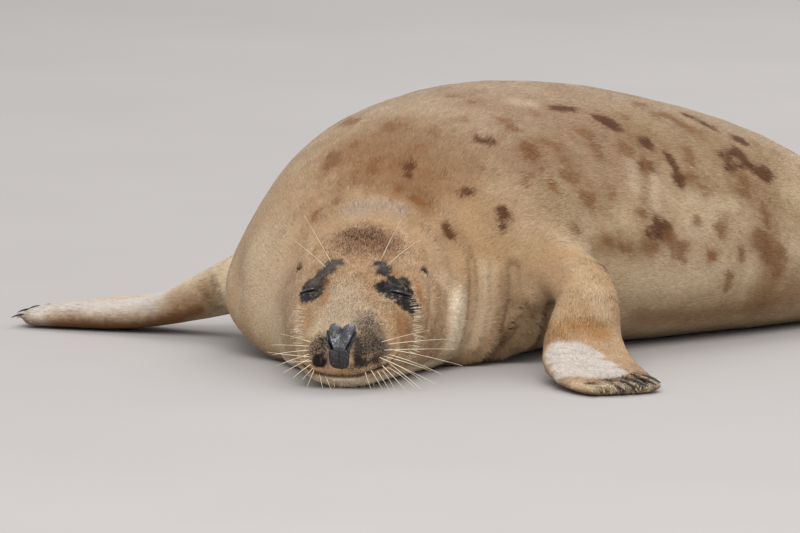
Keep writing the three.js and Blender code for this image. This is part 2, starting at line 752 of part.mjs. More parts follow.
// A flipper with its digits, cut clear of the body it grows from, and its claws.
function addFlipper(name, rings, wrist, reaches, size, clawSize, body) {
  const digits = digitsOf(rings, wrist, reaches, size);
  let flipper = solidOf(loft([...rings.map((r) => r.ring), webEdge(rings.at(-1))]));
  for (const digit of digits) {
    flipper = flipper.add(digitSolid(digit.points));
  }
  for (const digit of digits) {
    flipper = flipper.subtract(clawSolid(digit, clawSize, GAP));
  }
  add(name, flipper.subtract(body), coat);
  digits.forEach((digit, i) => add(`${name}_claw_${i + 1}`, clawSolid(digit, clawSize), horn));
}

const chestFrame = spine(FLIPPER_S);
for (const [name, { side, path, wrist }] of Object.entries(FORE)) {
  const rings = limbRings(path, chestFrame, side, FORE_MESH.rings, FORE_MESH.segments);
  // The leading edge is the front one on both sides.
  if (side > 0) {
    rings.forEach((r) => r.chord.negate());
  }
  addFlipper(`foreflipper_${name}`, rings, wrist, DIGIT_REACH, DIGIT, CLAW, grownTrunk);
}

// The short flat tail, grown all round by grow.
function tailSolid(grow) {
  const { z, sunk, long, half, thick, droop } = TAIL;
  const path = [
    [0, -sunk, z, half * 0.8, thick],
    [0, sunk / 2, z, half, thick],
    [0, long * 0.55, z - droop * 0.4, half * 0.86, thick * 0.8],
    [0, long * 0.9, z - droop * 0.85, half * 0.55, thick * 0.55],
    [0, long, z - droop, half * 0.18, thick * 0.3],
  ];
  const rings = limbRings(path, spine(TAIL.s), 1, TAIL_MESH.rings, TAIL_MESH.segments, 0, grow);
  return solidOf(loft(rings.map((r) => r.ring)));
}
const rearCutter = grownTrunk.add(tailSolid(GAP));
for (const [name, side] of [["left", 1], ["right", -1]]) {
  const { rings: count, segments } = HIND_MESH;
  const rings = limbRings(HIND.path, spine(HIND_S), side, count, segments, HIND.tilt);
  addFlipper(`hindflipper_${name}`, rings, HIND.ankle, TOE_REACH, TOE, TOE_CLAW, rearCutter);
}
add("tail", tailSolid(0).subtract(grownTrunk), coat);

// The origin is under the middle of the bounding box, on the ground.
const box = new THREE.Box3().setFromObject(seal);
seal.position.set(-(box.min.x + box.max.x) / 2, -(box.min.y + box.max.y) / 2, -box.min.z);

export default seal;
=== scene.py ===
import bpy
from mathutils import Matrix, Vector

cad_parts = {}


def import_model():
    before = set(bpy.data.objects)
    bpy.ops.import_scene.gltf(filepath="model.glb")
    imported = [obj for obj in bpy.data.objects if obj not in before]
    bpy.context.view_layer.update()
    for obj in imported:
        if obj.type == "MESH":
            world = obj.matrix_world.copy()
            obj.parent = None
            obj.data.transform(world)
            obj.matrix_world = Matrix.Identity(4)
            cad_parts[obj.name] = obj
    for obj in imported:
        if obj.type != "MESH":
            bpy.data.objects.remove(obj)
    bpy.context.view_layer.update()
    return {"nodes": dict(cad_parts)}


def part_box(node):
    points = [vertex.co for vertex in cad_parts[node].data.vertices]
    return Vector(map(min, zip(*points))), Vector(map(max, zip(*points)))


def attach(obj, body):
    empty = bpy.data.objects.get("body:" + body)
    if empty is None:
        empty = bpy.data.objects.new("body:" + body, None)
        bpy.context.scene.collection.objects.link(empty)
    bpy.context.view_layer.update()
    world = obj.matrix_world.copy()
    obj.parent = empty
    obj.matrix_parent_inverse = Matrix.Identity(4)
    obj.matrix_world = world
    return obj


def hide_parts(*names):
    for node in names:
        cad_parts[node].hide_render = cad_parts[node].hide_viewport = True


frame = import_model()

# A young grey seal resting on its belly: its skin, coat, nose, lids, claws and whiskers.
#
# Lengths are metres. A place on the animal is (s, u, z): s back along the spine from the muzzle tip,
# u to the animal's left and z above the ground. A place named by a pixel, of a picture 800 x 533,
# is where the camera's ray through that pixel meets the skin. Folds, spots and marks are placed so,
# and are geometry or a colour for each vertex, so they stay put in every view.

import math

import bmesh
import bpy
import numpy as np
from mathutils import Vector
from mathutils.bvhtree import BVHTree

random = np.random.default_rng(7)

# ------------------------------------------------------------------ the animal's measures

MUZZLE_TIP = (0.19736, -0.62355)
SPINE_STEP = 0.005
SPINE_END = 1.3
HEADINGS = np.array(
    [(0, 33.5), (0.19, 33.5), (0.28, 22), (0.385, 3), (0.5, -11), (0.8, -17), (SPINE_END, -17)]
)
MUZZLE_CORE = (0.015, 0, 0.045)  # the fur of the face radiates from here

# Flippers: distance back where they are rooted, and the places their middle runs through,
# out to the side, back and up.
FORE_ROOT = 0.34
FORE_LEFT = [
    (0.150, 0.018, 0.102), (0.206, -0.004, 0.110), (0.246, -0.031, 0.101), (0.271, -0.058, 0.076),
    (0.276, -0.073, 0.046), (0.302, -0.101, 0.022), (0.354, -0.143, 0.0105), (0.392, -0.168, 0.007),
]
FORE_RIGHT = [
    (0.120, 0.020, 0.080), (0.205, 0.004, 0.074), (0.268, -0.012, 0.054), (0.325, -0.024, 0.032),
    (0.378, -0.032, 0.021), (0.430, -0.042, 0.017), (0.500, -0.060, 0.011),
]
HIND_ROOT = 1.068
HIND = [
    (0.026, -0.020, 0.042), (0.037, 0.038, 0.039), (0.046, 0.088, 0.035),
    (0.055, 0.138, 0.034), (0.063, 0.186, 0.034), (0.067, 0.222, 0.035),
]

MOUTH = {"front": 0.0141, "side": 0.042, "side_rise": 0.0095, "corner_s": 0.056, "corner_rise": 0.0160}
EAR_PIXEL = (424.7, 270.8)

# ------------------------------------------------------------------ the camera

PICTURE = (800, 533)
VIEW = {"azimuth": 45, "elevation": 8, "distance": 9.9, "scale": 880}  # scale: pixels to the metre
NOSE_PIXEL = (340.47, 346.22)
SENSOR = 36
FOCAL = VIEW["distance"] * VIEW["scale"]  # in pixels


def make_camera():
    a, e = math.radians(VIEW["azimuth"]), math.radians(VIEW["elevation"])
    ahead = Vector((-math.sin(a) * math.cos(e), math.cos(a) * math.cos(e), -math.sin(e)))
    right = Vector((math.cos(a), math.sin(a), 0))
    up = right.cross(ahead)
    low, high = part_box("nose")
    nose = (low + high) / 2
    aim = (
        nose
        + right * (PICTURE[0] / 2 - NOSE_PIXEL[0]) / VIEW["scale"]
        + up * (NOSE_PIXEL[1] - PICTURE[1] / 2) / VIEW["scale"]
    )
    camera = bpy.data.objects.new("camera", bpy.data.cameras.new("camera"))
    bpy.context.scene.collection.objects.link(camera)
    camera.location = nose - ahead * VIEW["distance"]
    camera.rotation_euler = (aim - camera.location).to_track_quat("-Z", "Y").to_euler()
    camera.data.sensor_width = SENSOR
    camera.data.lens = SENSOR * FOCAL / PICTURE[0]
    camera.data.clip_end = 200
    camera.data.dof.use_dof = False
    bpy.context.scene.camera = camera
    bpy.context.view_layer.update()
    return camera


camera = make_camera()
EYE_POINT = np.array(camera.matrix_world.translation)
CAMERA_AXES = np.array(camera.matrix_world.to_3x3())  # columns: right, up, towards the viewer


def pixel_way(px, py):
    """The direction from the camera through a pixel."""
    flat = np.array([px - PICTURE[0] / 2, PICTURE[1] / 2 - py, -FOCAL])
    way = CAMERA_AXES @ flat
    return way / np.linalg.norm(way)


# ------------------------------------------------------------------ numbers

def srgb(red, green, blue):
    """The linear colour of values from 0 to 255 as a screen shows them."""
    c = np.array([[red, green, blue]]) / 255
    return np.where(c <= 0.04045, c / 12.92, ((c + 0.055) / 1.055) ** 2.4)


def smooth(x, low, high):
    t = np.clip((x - low) / (high - low), 0, 1)
    return t * t * (3 - 2 * t)


def bell(x, width):
    return np.exp(-((x / width) ** 2))


def mix(a, b, share):
    """From a to b by share, for each point where share is an array."""
    share = np.asarray(share)
    if np.ndim(a) > share.ndim or np.ndim(b) > share.ndim:
        share = share[..., None]
    return a + (b - a) * share


def unit(v):
    return v / np.maximum(np.linalg.norm(v, axis=-1, keepdims=True), 1e-12)


def along(rows, column, at):
    """A smooth curve through rows of numbers, keyed by their first column."""
    x, y = rows[:, 0], rows[:, column]
    at = np.clip(at, x[0], x[-1])
    before = np.maximum(np.arange(len(x)) - 1, 0)
    after = np.minimum(np.arange(len(x)) + 1, len(x) - 1)
    slope = (y[after] - y[before]) / (x[after] - x[before])
    i = np.clip(np.searchsorted(x, at, "right") - 1, 0, len(x) - 2)
    h = x[i + 1] - x[i]
    t = (at - x[i]) / h
    return (
        (1 + 2 * t) * (1 - t) ** 2 * y[i]
        + t * (1 - t) ** 2 * h * slope[i]
        + t * t * (3 - 2 * t) * y[i + 1]
        + t * t * (t - 1) * h * slope[i + 1]
    )


def lattice(cell, seed):
    """A fixed number from -1 to 1 for each cell of a grid."""
    mixed = cell[:, 0] * 73856093 ^ cell[:, 1] * 19349663 ^ cell[:, 2] * 83492791 ^ (seed * 40503 + 977)
    mixed = (mixed ^ (mixed >> 13)) * 1274126177
    return ((mixed ^ (mixed >> 16)) & 0xFFFF) / 32767.5 - 1


def noise(points, size, seed=0):
    """Smooth noise from -1 to 1, with lumps of this size."""
    q = np.asarray(points) / size
    cell = np.floor(q).astype(np.int64)
    f = q - cell
    w = f * f * (3 - 2 * f)
    total = np.zeros(len(q))
    for corner in np.ndindex(2, 2, 2):
        share = np.prod(np.where(corner, w, 1 - w), axis=1)
        total += share * lattice(cell + np.array(corner), seed)
    return total


def layered(points, size, layers=3, seed=0):
    """Noise with finer noise on it."""
    return sum(noise(points, size / 2**k, seed + 31 * k) / 1.8**k for k in range(layers))


# ------------------------------------------------------------------ the spine and the limbs

def above_mouth(s, u, z):
    """How far a place lies above the line between the lips."""
    side = np.clip(np.abs(u) / MOUTH["side"], 0, 1) ** 2
    rise = np.clip(s / MOUTH["corner_s"], 0, 1) ** 1.8
    return z - MOUTH["front"] - MOUTH["side_rise"] * side - MOUTH["corner_rise"] * rise


def spine_points():
    s = np.arange(0, SPINE_END, SPINE_STEP)
    heading = np.radians(along(HEADINGS, 1, s + SPINE_STEP / 2))
    steps = np.column_stack([-np.sin(heading), np.cos(heading)]) * SPINE_STEP
    return np.vstack([MUZZLE_TIP, MUZZLE_TIP + np.cumsum(steps, axis=0)])


SPINE = spine_points()
SPINE_S = np.arange(len(SPINE)) * SPINE_STEP


def ways(s):
    """Which way is left and which is back, at s."""
    heading = np.radians(along(HEADINGS, 1, np.asarray(s, float)))
    flat = np.zeros_like(heading)
    left = np.stack([np.cos(heading), np.sin(heading), flat], axis=-1)
    back = np.stack([-np.sin(heading), np.cos(heading), flat], axis=-1)
    return left, back


def world(s, u, z, back=0.0):
    """The point at (s, u, z), moved back by a straight distance."""
    s, u, z = (np.asarray(v, float) for v in (s, u, z))
    left, behind = ways(s)
    x = np.interp(s, SPINE_S, SPINE[:, 0])
    y = np.interp(s, SPINE_S, SPINE[:, 1])
    ahead = np.minimum(s, 0)[..., None] * behind
    point = np.stack([x, y, z + 0 * x], axis=-1)
    return point + ahead + left * u[..., None] + behind * np.asarray(back)[..., None]


def to_body(points, chunk=20000):
    """(s, u, z) of each point, from the nearest place on the spine."""
    rows = []
    for start in range(0, len(points), chunk):
        p = points[start : start + chunk]
        d2 = ((p[:, None, :2] - SPINE[None]) ** 2).sum(2)
        k = d2.argmin(1)
        left, back = ways(SPINE_S[k])
        off = p[:, :2] - SPINE[k]
        s = SPINE_S[k] + (off * back[:, :2]).sum(1)
        u = (off * left[:, :2]).sum(1)
        rows.append(np.column_stack([s, u, p[:, 2]]))
    return np.vstack(rows)


class Limb:
    """The middle line of a flipper, from its root to its tip."""

    def __init__(self, node, root, path, side):
        self.node = node
        rows = np.column_stack([np.linspace(0, 1, len(path)), path])
        self.t = np.linspace(0, 1, 80)
        out, back, z = (along(rows, column, self.t) for column in (1, 2, 3))
        self.line = world(np.full(len(self.t), root), side * out, z, back)
        self.way = unit(np.gradient(self.line, axis=0))

    def nearest(self, points):
        d2 = ((points[:, None] - self.line[None]) ** 2).sum(2)
        return d2.argmin(1)

    def place(self, points):
        """Of each point: how far along the limb it is, and how far across and above its middle."""
        k = self.nearest(points)
        off = points - self.line[k]
        chord = unit(np.cross(self.way[k], [0, 0, 1]))
        return self.t[k], (off * chord).sum(1), off[:, 2]


LIMBS = [
    Limb("foreflipper_left", FORE_ROOT, FORE_LEFT, 1),
    Limb("foreflipper_right", FORE_ROOT, FORE_RIGHT, -1),
    Limb("hindflipper_left", HIND_ROOT, HIND, 1),
    Limb("hindflipper_right", HIND_ROOT, HIND, -1),
]

# ------------------------------------------------------------------ meshes as arrays

def read_points(mesh):
    points = np.empty(len(mesh.vertices) * 3)
    mesh.vertices.foreach_get("co", points)
    return points.reshape(-1, 3)


def write_points(mesh, points):
    mesh.vertices.foreach_set("co", np.ascontiguousarray(points, np.float32).ravel())
    mesh.update()


def triangles_of(mesh):
    mesh.calc_loop_triangles()
    corners = np.empty(len(mesh.loop_triangles) * 3, np.int32)
    mesh.loop_triangles.foreach_get("vertices", corners)
    return corners.reshape(-1, 3)


def edges_of(mesh):
    ends = np.empty(len(mesh.edges) * 2, np.int32)
    mesh.edges.foreach_get("vertices", ends)
    return ends.reshape(-1, 2)


def normals_of(points, triangles):
    a, b, c = (points[triangles[:, k]] for k in range(3))
    face = np.cross(b - a, c - a)
    total = np.zeros_like(points)
    for axis in range(3):
        for corner in range(3):
            total[:, axis] += np.bincount(triangles[:, corner], face[:, axis], len(points))
    return unit(total)


def averaged(values, edges):
    """The mean of each vertex's neighbours."""
    ends = np.concatenate([edges[:, 0], edges[:, 1]])
    others = np.concatenate([edges[:, 1], edges[:, 0]])
    count = np.maximum(np.bincount(ends, minlength=len(values)), 1)
    columns = values.reshape(len(values), -1)
    sums = [np.bincount(ends, columns[others, k], len(values)) for k in range(columns.shape[1])]
    return (np.column_stack(sums) / count[:, None]).reshape(values.shape)


def relaxed(values, edges, rounds, amount=0.5):
    for _ in range(rounds):
        values = values + (averaged(values, edges) - values) * amount
    return values


def faired(points, edges, rounds):
    """Smooths without shrinking, by a step in and a slightly longer one out."""
    for _ in range(rounds):
        points = relaxed(points, edges, 1, 0.5)
        points = relaxed(points, edges, 1, -0.53)
    return points


def distance(points, line):
    """From each point to the nearest place on a line of points."""
    line = np.atleast_2d(line)
    if len(line) == 1:
        return np.linalg.norm(points - line[0], axis=1)
    best = np.full(len(points), np.inf)
    for a, b in zip(line[:-1], line[1:]):
        step = b - a
        t = np.clip((points - a) @ step / max(step @ step, 1e-12), 0, 1)
        best = np.minimum(best, np.linalg.norm(points - a - t[:, None] * step, axis=1))
    return best


def make_mesh(name, points, faces):
    """A mesh object from points and faces that all have the same number of corners."""
    mesh = bpy.data.meshes.new(name)
    mesh.vertices.add(len(points))
    mesh.vertices.foreach_set("co", np.ascontiguousarray(points, np.float32).ravel())
    mesh.loops.add(faces.size)
    mesh.loops.foreach_set("vertex_index", np.ascontiguousarray(faces, np.int32).ravel())
    mesh.polygons.add(len(faces))
    mesh.polygons.foreach_set("loop_start", np.arange(0, faces.size, faces.shape[1], dtype=np.int32))
    mesh.update(calc_edges=True)
    mesh.shade_smooth()
    obj = bpy.data.objects.new(name, mesh)
    bpy.context.scene.collection.objects.link(obj)
    return obj


def ring_faces(rings, sides):
    """Triangles over rings of points and over the two middles that close them, listed after them."""
    k = np.arange(sides)
    beside = (k + 1) % sides
    last = (rings - 1) * sides
    faces = [np.column_stack([np.full(sides, rings * sides), k, beside])]
    for start in range(0, last, sides):
        a, b = start + k, start + beside
        faces += [np.column_stack([a, a + sides, b]), np.column_stack([b, a + sides, b + sides])]
    faces.append(np.column_stack([np.full(sides, rings * sides + 1), last + beside, last + k]))
    return np.vstack(faces)


def paint(mesh, name, values):
    """Stores three numbers for each vertex as a colour."""
    colour = np.ones((len(mesh.vertices), 4), np.float32)
    colour[:, :3] = values
    layer = mesh.color_attributes.new(name, "FLOAT_COLOR", "POINT")
    layer.data.foreach_set("color", colour.ravel())


def store_place(mesh, name, values):
    """Stores a place for each vertex, which a material's texture reads."""
    layer = mesh.attributes.new(name, "FLOAT_VECTOR", "POINT")
    layer.data.foreach_set("vector", values.astype(np.float32).ravel())


def bvh_of(points, triangles):
    return BVHTree.FromPolygons([tuple(p) for p in points.tolist()], triangles.tolist())


# ------------------------------------------------------------------ the skin's shape

FLESH = ["head", "neck", "chest", "belly", "hindquarters", "tail"]
FLESH += [limb.node for limb in LIMBS]
FACE_BLOCKS = ["nose", "eyelids_left", "eyelids_right"]  # the skin runs on under these
CLOSE_GAPS = 0.0007  # the flesh is grown by this, so that its lengths meet
THIN_GROWN = 0.0020  # the thin hindflippers are grown by this besides, so that no digit is lost
THIN_BACK = 0.0016  # and drawn in again by this
VOXEL = 0.0063
FINE_FROM = (0.28, 0.100)  # nearer the muzzle than each of these the skin is divided once more
COAT_DEPTH = {"face": 0.0006, "body": 0.0013}
FLOOR = 0.0006  # nothing is lower than this
# Rounds of smoothing: of the whole skin, the trunk, the shoulders' grooves and the armpits, and of
# the border between a limb and the body for each use of it.
ROUNDS = {
    "all": 6, "trunk": 18, "shoulder": 190, "armpit": 66,
    "trunk_border": 8, "armpit_border": 12, "border": 9,
}


def grown_flesh():
    """Every flesh node, closed up and grown a little, in one list of points and triangles."""
    points, faces, count = [], [], 0
    for name in FLESH + FACE_BLOCKS:
        bm = bmesh.new()
        bm.from_mesh(frame["nodes"][name].data)
        bmesh.ops.remove_doubles(bm, verts=bm.verts, dist=1e-5)
        if name in FACE_BLOCKS:
            hull = bmesh.ops.convex_hull(bm, input=bm.verts)
            inside = [v for v in hull["geom_interior"] if isinstance(v, bmesh.types.BMVert)]
            bmesh.ops.delete(bm, geom=inside, context="VERTS")
        bmesh.ops.triangulate(bm, faces=bm.faces)
        bm.normal_update()
        bm.verts.index_update()
        grown = CLOSE_GAPS + THIN_GROWN * name.startswith("hindflipper")
        points += [v.co + v.normal * grown for v in bm.verts]
        faces += [[v.index + count for v in f.verts] for f in bm.faces]
        count = len(points)
        bm.free()
    return np.array(points), np.array(faces)


def largest_part(mesh):
    """Deletes all but the largest connected part of the mesh."""
    edges = edges_of(mesh)
    label = np.arange(len(mesh.vertices))
    while True:
        low = np.minimum(label[edges[:, 0]], label[edges[:, 1]])
        new = label.copy()
        np.minimum.at(new, edges[:, 0], low)
        np.minimum.at(new, edges[:, 1], low)
        new = new[new]
        if (new == label).all():
            break
        label = new
    keep = label == np.bincount(label).argmax()
    if keep.all():
        return
    bm = bmesh.new()
    bm.from_mesh(mesh)
    bm.verts.ensure_lookup_table()
    bmesh.ops.delete(bm, geom=[bm.verts[k] for k in np.flatnonzero(~keep)], context="VERTS")
    bm.to_mesh(mesh)
    bm.free()


def refine(mesh, wanted):
    """Halves the edges of the faces whose middles are wanted."""
    middles = np.empty(len(mesh.polygons) * 3)
    mesh.polygons.foreach_get("center", middles)
    chosen = np.flatnonzero(wanted(middles.reshape(-1, 3)))
    bm = bmesh.new()
    bm.from_mesh(mesh)
    bm.faces.ensure_lookup_table()
    bm.edges.ensure_lookup_table()
    picked = sorted({e.index for k in chosen for e in bm.faces[k].edges})
    bmesh.ops.subdivide_edges(bm, edges=[bm.edges[k] for k in picked], cuts=1, use_grid_fill=True)
    bm.to_mesh(mesh)
    bm.free()


# Where a limb joins the body the groove beside it is filled by smoothing: pixels, reach in metres.
SHOULDERS = [
    ([(541, 248), (546, 270), (550, 290)], 0.055),
    ([(232, 262), (230, 285)], 0.026),
]


def flesh_tree():
    """A search tree over the CAD's flesh, and the node that each of its triangles belongs to."""
    vertices, faces, owner, count = [], [], [], 0
    for k, name in enumerate(FLESH):
        mesh = frame["nodes"][name].data
        vertices.append(read_points(mesh))
        faces.append(triangles_of(mesh) + count)
        owner += [k] * len(faces[-1])
        count += len(vertices[-1])
    return bvh_of(np.vstack(vertices), np.vstack(faces)), np.array(owner)


FLESH_TREE, FLESH_OWNER = flesh_tree()


def limb_shares(points, edges, rounds):
    """How far each point belongs to each limb, from the CAD node that it lies nearest to."""
    nearest = FLESH_OWNER[[FLESH_TREE.find_nearest(p)[2] for p in points.tolist()]]
    belongs = [nearest == FLESH.index(limb.node) for limb in LIMBS]
    return relaxed(np.column_stack(belongs).astype(float), edges, rounds)


def meet(tree, px, py):
    """Where the camera's ray through a pixel first meets the tree's surface."""
    return tree.ray_cast(Vector(EYE_POINT), Vector(pixel_way(px, py)))


def voxel_skin():
    """All the flesh as one closed mesh of even faces."""
    rough = make_mesh("rough_flesh", *grown_flesh())
    remesh = rough.modifiers.new("remesh", "REMESH")
    remesh.mode = "VOXEL"
    remesh.voxel_size = VOXEL
    depsgraph = bpy.context.evaluated_depsgraph_get()
    mesh = bpy.data.meshes.new_from_object(rough.evaluated_get(depsgraph))
    bpy.data.objects.remove(rough)
    mesh.name = "seal_skin"
    largest_part(mesh)
    return mesh


def smooth_skin(mesh):
    """Takes the flat facets off the trunk; the face and the flippers keep their size."""
    points, edges = read_points(mesh), edges_of(mesh)
    s = to_body(points)[:, 0]
    limb = limb_shares(points, edges, ROUNDS["trunk_border"]).max(1)
    trunk = smooth(s, 0.22, 0.34) * (1 - smooth(limb, 0.02, 0.5)) * (1 - smooth(s, 0.98, 1.08))
    points = mix(points, relaxed(points, edges, ROUNDS["trunk"]), trunk)
    tree = bvh_of(points, triangles_of(mesh))
    for pixels, reach in SHOULDERS:
        line = np.array([meet(tree, *pixel)[0] for pixel in pixels])
        share = bell(distance(points, line), reach)
        points = mix(points, relaxed(points, edges, ROUNDS["shoulder"]), share)
    fore = limb_shares(points, edges, ROUNDS["armpit_border"])[:, :2].max(1)
    armpit = np.clip(4 * fore * (1 - fore), 0, 1)
    points = mix(points, relaxed(points, edges, ROUNDS["armpit"]), armpit)
    write_points(mesh, faired(points, edges, ROUNDS["all"]))


def base_skin():
    """One smooth skin over all the flesh, finer on the neck and the face."""
    mesh = voxel_skin()
    smooth_skin(mesh)
    for limit in FINE_FROM:
        refine(mesh, lambda middles: to_body(middles)[:, 0] < limit)
        points, edges = read_points(mesh), edges_of(mesh)
        near = 1 - smooth(to_body(points)[:, 0], limit, limit + 0.02)
        smoothed = faired(relaxed(points, edges, 1, 0.5), edges, 4)
        write_points(mesh, mix(points, smoothed, near))
    return mesh


class Skin:
    """The skin's points with what is known of them: their place and their limb."""

    def __init__(self, mesh):
        self.mesh = mesh
        self.triangles = triangles_of(mesh)
        self.limbs = limb_shares(read_points(mesh), edges_of(mesh), ROUNDS["border"])
        self.move(read_points(mesh))

    def move(self, points):
        """Takes new places for the points."""
        self.points = points
        self.body = to_body(points)
        self.normals = normals_of(points, self.triangles)
        self.bvh = bvh_of(points, self.triangles)

    def cast(self, px, py):
        """Where the camera's ray through a pixel meets the skin, and the skin's direction out there."""
        way = pixel_way(px, py)
        hit, normal, _, _ = meet(self.bvh, px, py)
        if hit is not None:
            return np.array(hit), np.array(normal)
        # A ray that just misses takes the point of the skin that is nearest to it.
        off = self.points - EYE_POINT
        nearest = np.linalg.norm(np.cross(off, way), axis=1).argmin()
        return self.points[nearest], self.normals[nearest]

    def trace(self, *pixels):
        """The line on the skin through these pixels."""
        return np.array([self.cast(*pixel)[0] for pixel in pixels])

    def across(self, px, py):
        """The same place as a pixel's on the other side of the head."""
        s, u, z = to_body(self.cast(px, py)[0][None])[0]
        side = world(s, -3 * u, z)
        hit, _, _, _ = self.bvh.ray_cast(Vector(side), Vector(world(s, 0, z) - side))
        return np.array(hit)

    def ears(self):
        return self.cast(*EAR_PIXEL)[0], self.across(*EAR_PIXEL)


skin = Skin(base_skin())


# ------------------------------------------------------------------ folds, lips and pits of the skin

# Grooves and ridges by the pixels they run through: line, half width and height, in millimetres.
FOLDS = [
    # Neck and armpit of the near side
    ([(514, 268), (514, 290), (508, 322), (491, 357), (474, 368)], 8.0, -6.0),
    ([(512, 300), (506, 324), (492, 354), (478, 366)], 2.4, -3.0),
    ([(530, 296), (521, 330), (505, 355)], 9.0, 3.5),
    ([(499, 275), (494, 315), (478, 348)], 9.0, 3.0),
    ([(566, 296), (560, 316), (556, 334)], 14.0, 10.0),
    ([(470, 262), (472, 300), (464, 344)], 4.0, -2.4),
    ([(486, 262), (486, 306), (474, 348)], 5.0, 1.8),
    ([(536, 304), (533, 324), (526, 342)], 13.0, 7.0),
    ([(549, 306), (546, 320), (541, 336), (530, 352)], 4.5, -3.0),
    ([(546, 316), (543, 328), (538, 342)], 2.2, -1.6),
    ([(462, 270), (458, 300), (453, 330), (449, 348)], 12.0, 4.5),
    ([(432, 285), (431, 322), (424, 345)], 6.0, -2.5),
    ([(476, 250), (476, 300), (468, 345)], 7.0, -1.8),
    # The ring behind the crown
    ([(301, 262), (310, 236), (330, 213), (370, 204), (408, 211), (432, 239), (448, 276)], 10.0, 3.2),
    ([(296, 228), (322, 199), (370, 190), (418, 199), (446, 232), (462, 272)], 9.0, -2.8),
    ([(318, 226), (345, 217), (372, 215), (398, 220), (417, 236)], 6.0, -1.2),
    # Cheeks, far shoulder and chin
    ([(300, 300), (296, 320), (296, 340)], 4.0, -2.0),
    ([(398, 306), (402, 318), (404, 334)], 7.0, -2.0),
    ([(307, 306), (306, 322)], 5.0, -1.2),
    ([(220, 300), (214, 288), (210, 280)], 5.0, -2.5),
    ([(341, 369), (342, 375)], 1.4, -1.6),
    # Between the digits of the near paw, and along the far flipper
    ([(585, 380), (604, 393)], 2.6, -2.4),
    ([(602, 375), (620, 391)], 2.6, -2.8),
    ([(617, 371), (634, 388)], 2.6, -2.8),
    ([(630, 369), (646, 384)], 2.6, -2.4),
    ([(75, 304), (40, 308)], 3.0, -1.8),
    ([(78, 310), (36, 314)], 3.0, -1.8),
]


def mouth_relief(s, u, z):
    """The line of the mouth, with the upper lip over it and the lower lip under it."""
    over = above_mouth(s, u, z)
    here = 1 - smooth(s, MOUTH["corner_s"] - 0.008, MOUTH["corner_s"] + 0.004)
    here = here * smooth(0.1 - z, 0, 0.02)
    line = -0.0046 * bell(over, 0.0016)
    lips = 0.0016 * bell(over - 0.0050, 0.0032) + 0.0013 * bell(over + 0.0044, 0.0026)
    return here * (line + lips)


def ear_relief(points, ear):
    """A short slanting pit with a low rim."""
    off = points - ear
    stretch = off @ unit(np.array([0.35, -0.25, 0.9]))
    d = np.sqrt(np.maximum((off**2).sum(1) - 0.72 * stretch**2, 0))
    return -0.0058 * bell(d, 0.0025) + 0.0007 * bell(d - 0.0052, 0.0016)


def unevenness(points, s, u, z):
    """Follicle dimples of the whisker pads, and the soft lumps of the blubber."""
    pads = (1 - smooth(s, 0.02, 0.04)) * smooth(np.abs(u), 0.014, 0.02) * bell(z - 0.038, 0.022)
    lumps = 0.0011 * noise(points, 0.075, 6) + 0.0005 * noise(points, 0.024, 7)
    return pads * 0.00045 * noise(points, 0.0042, 5) + smooth(s, 0.2, 0.4) * lumps


def sculpt(skin):
    """Folds the skin, and draws it in to leave room for the coat."""
    points = skin.points.copy()
    move = mouth_relief(*skin.body.T) + unevenness(points, *skin.body.T)
    for pixels, width, height in FOLDS:
        d = distance(points, skin.trace(*pixels)) * 1000
        move += height / 1000 * bell(d, width)
    for ear in skin.ears():
        move += ear_relief(points, ear)
    depth = mix(COAT_DEPTH["face"], COAT_DEPTH["body"], smooth(skin.body[:, 0], 0.1, 0.24))
    depth = mix(depth, COAT_DEPTH["face"], skin.limbs.max(1))
    drawn_in = depth + CLOSE_GAPS + THIN_BACK * skin.limbs[:, 2:].max(1)
    points += skin.normals * (move - drawn_in)[:, None]
    points[:, 2] = np.maximum(points[:, 2], FLOOR)
    skin.move(points)
    write_points(skin.mesh, points)


# ------------------------------------------------------------------ markings

COLOURS = {
    "buff": srgb(168, 139, 108),
    "back": srgb(158, 136, 112),
    "flank": srgb(178, 154, 124),
    "low": srgb(160, 132, 99),
    "belly": srgb(140, 116, 88),
    "pale": srgb(203, 183, 154),
    # Pale fur, painted paler still as the highlight on the lit ridge of the neck:
    "cream": srgb(240, 224, 196),
    "nape": srgb(174, 156, 144),
    "brown": srgb(120, 84, 54),
    "olive": srgb(136, 110, 76),
    "spot": srgb(82, 50, 30),
    "rust": srgb(126, 82, 46),
    "orange": srgb(148, 104, 58),
    "tan": srgb(168, 135, 97),
    # Dark damp fur, partly painted shade in the creases where it lies:
    "damp": srgb(86, 63, 36),
    "muzzle": srgb(172, 154, 132),
    "crown": srgb(130, 93, 68),
    "speck": srgb(36, 26, 22),
    "wet": srgb(17, 15, 17),
    # Pale fur of the chin, painted paler still as light thrown up from the floor:
    "chin": srgb(238, 220, 190),
    "eye_rim": srgb(104, 92, 86),
    "sand": srgb(190, 181, 173),
    "dusty": srgb(196, 188, 181),
    "ash": srgb(88, 79, 72),
}

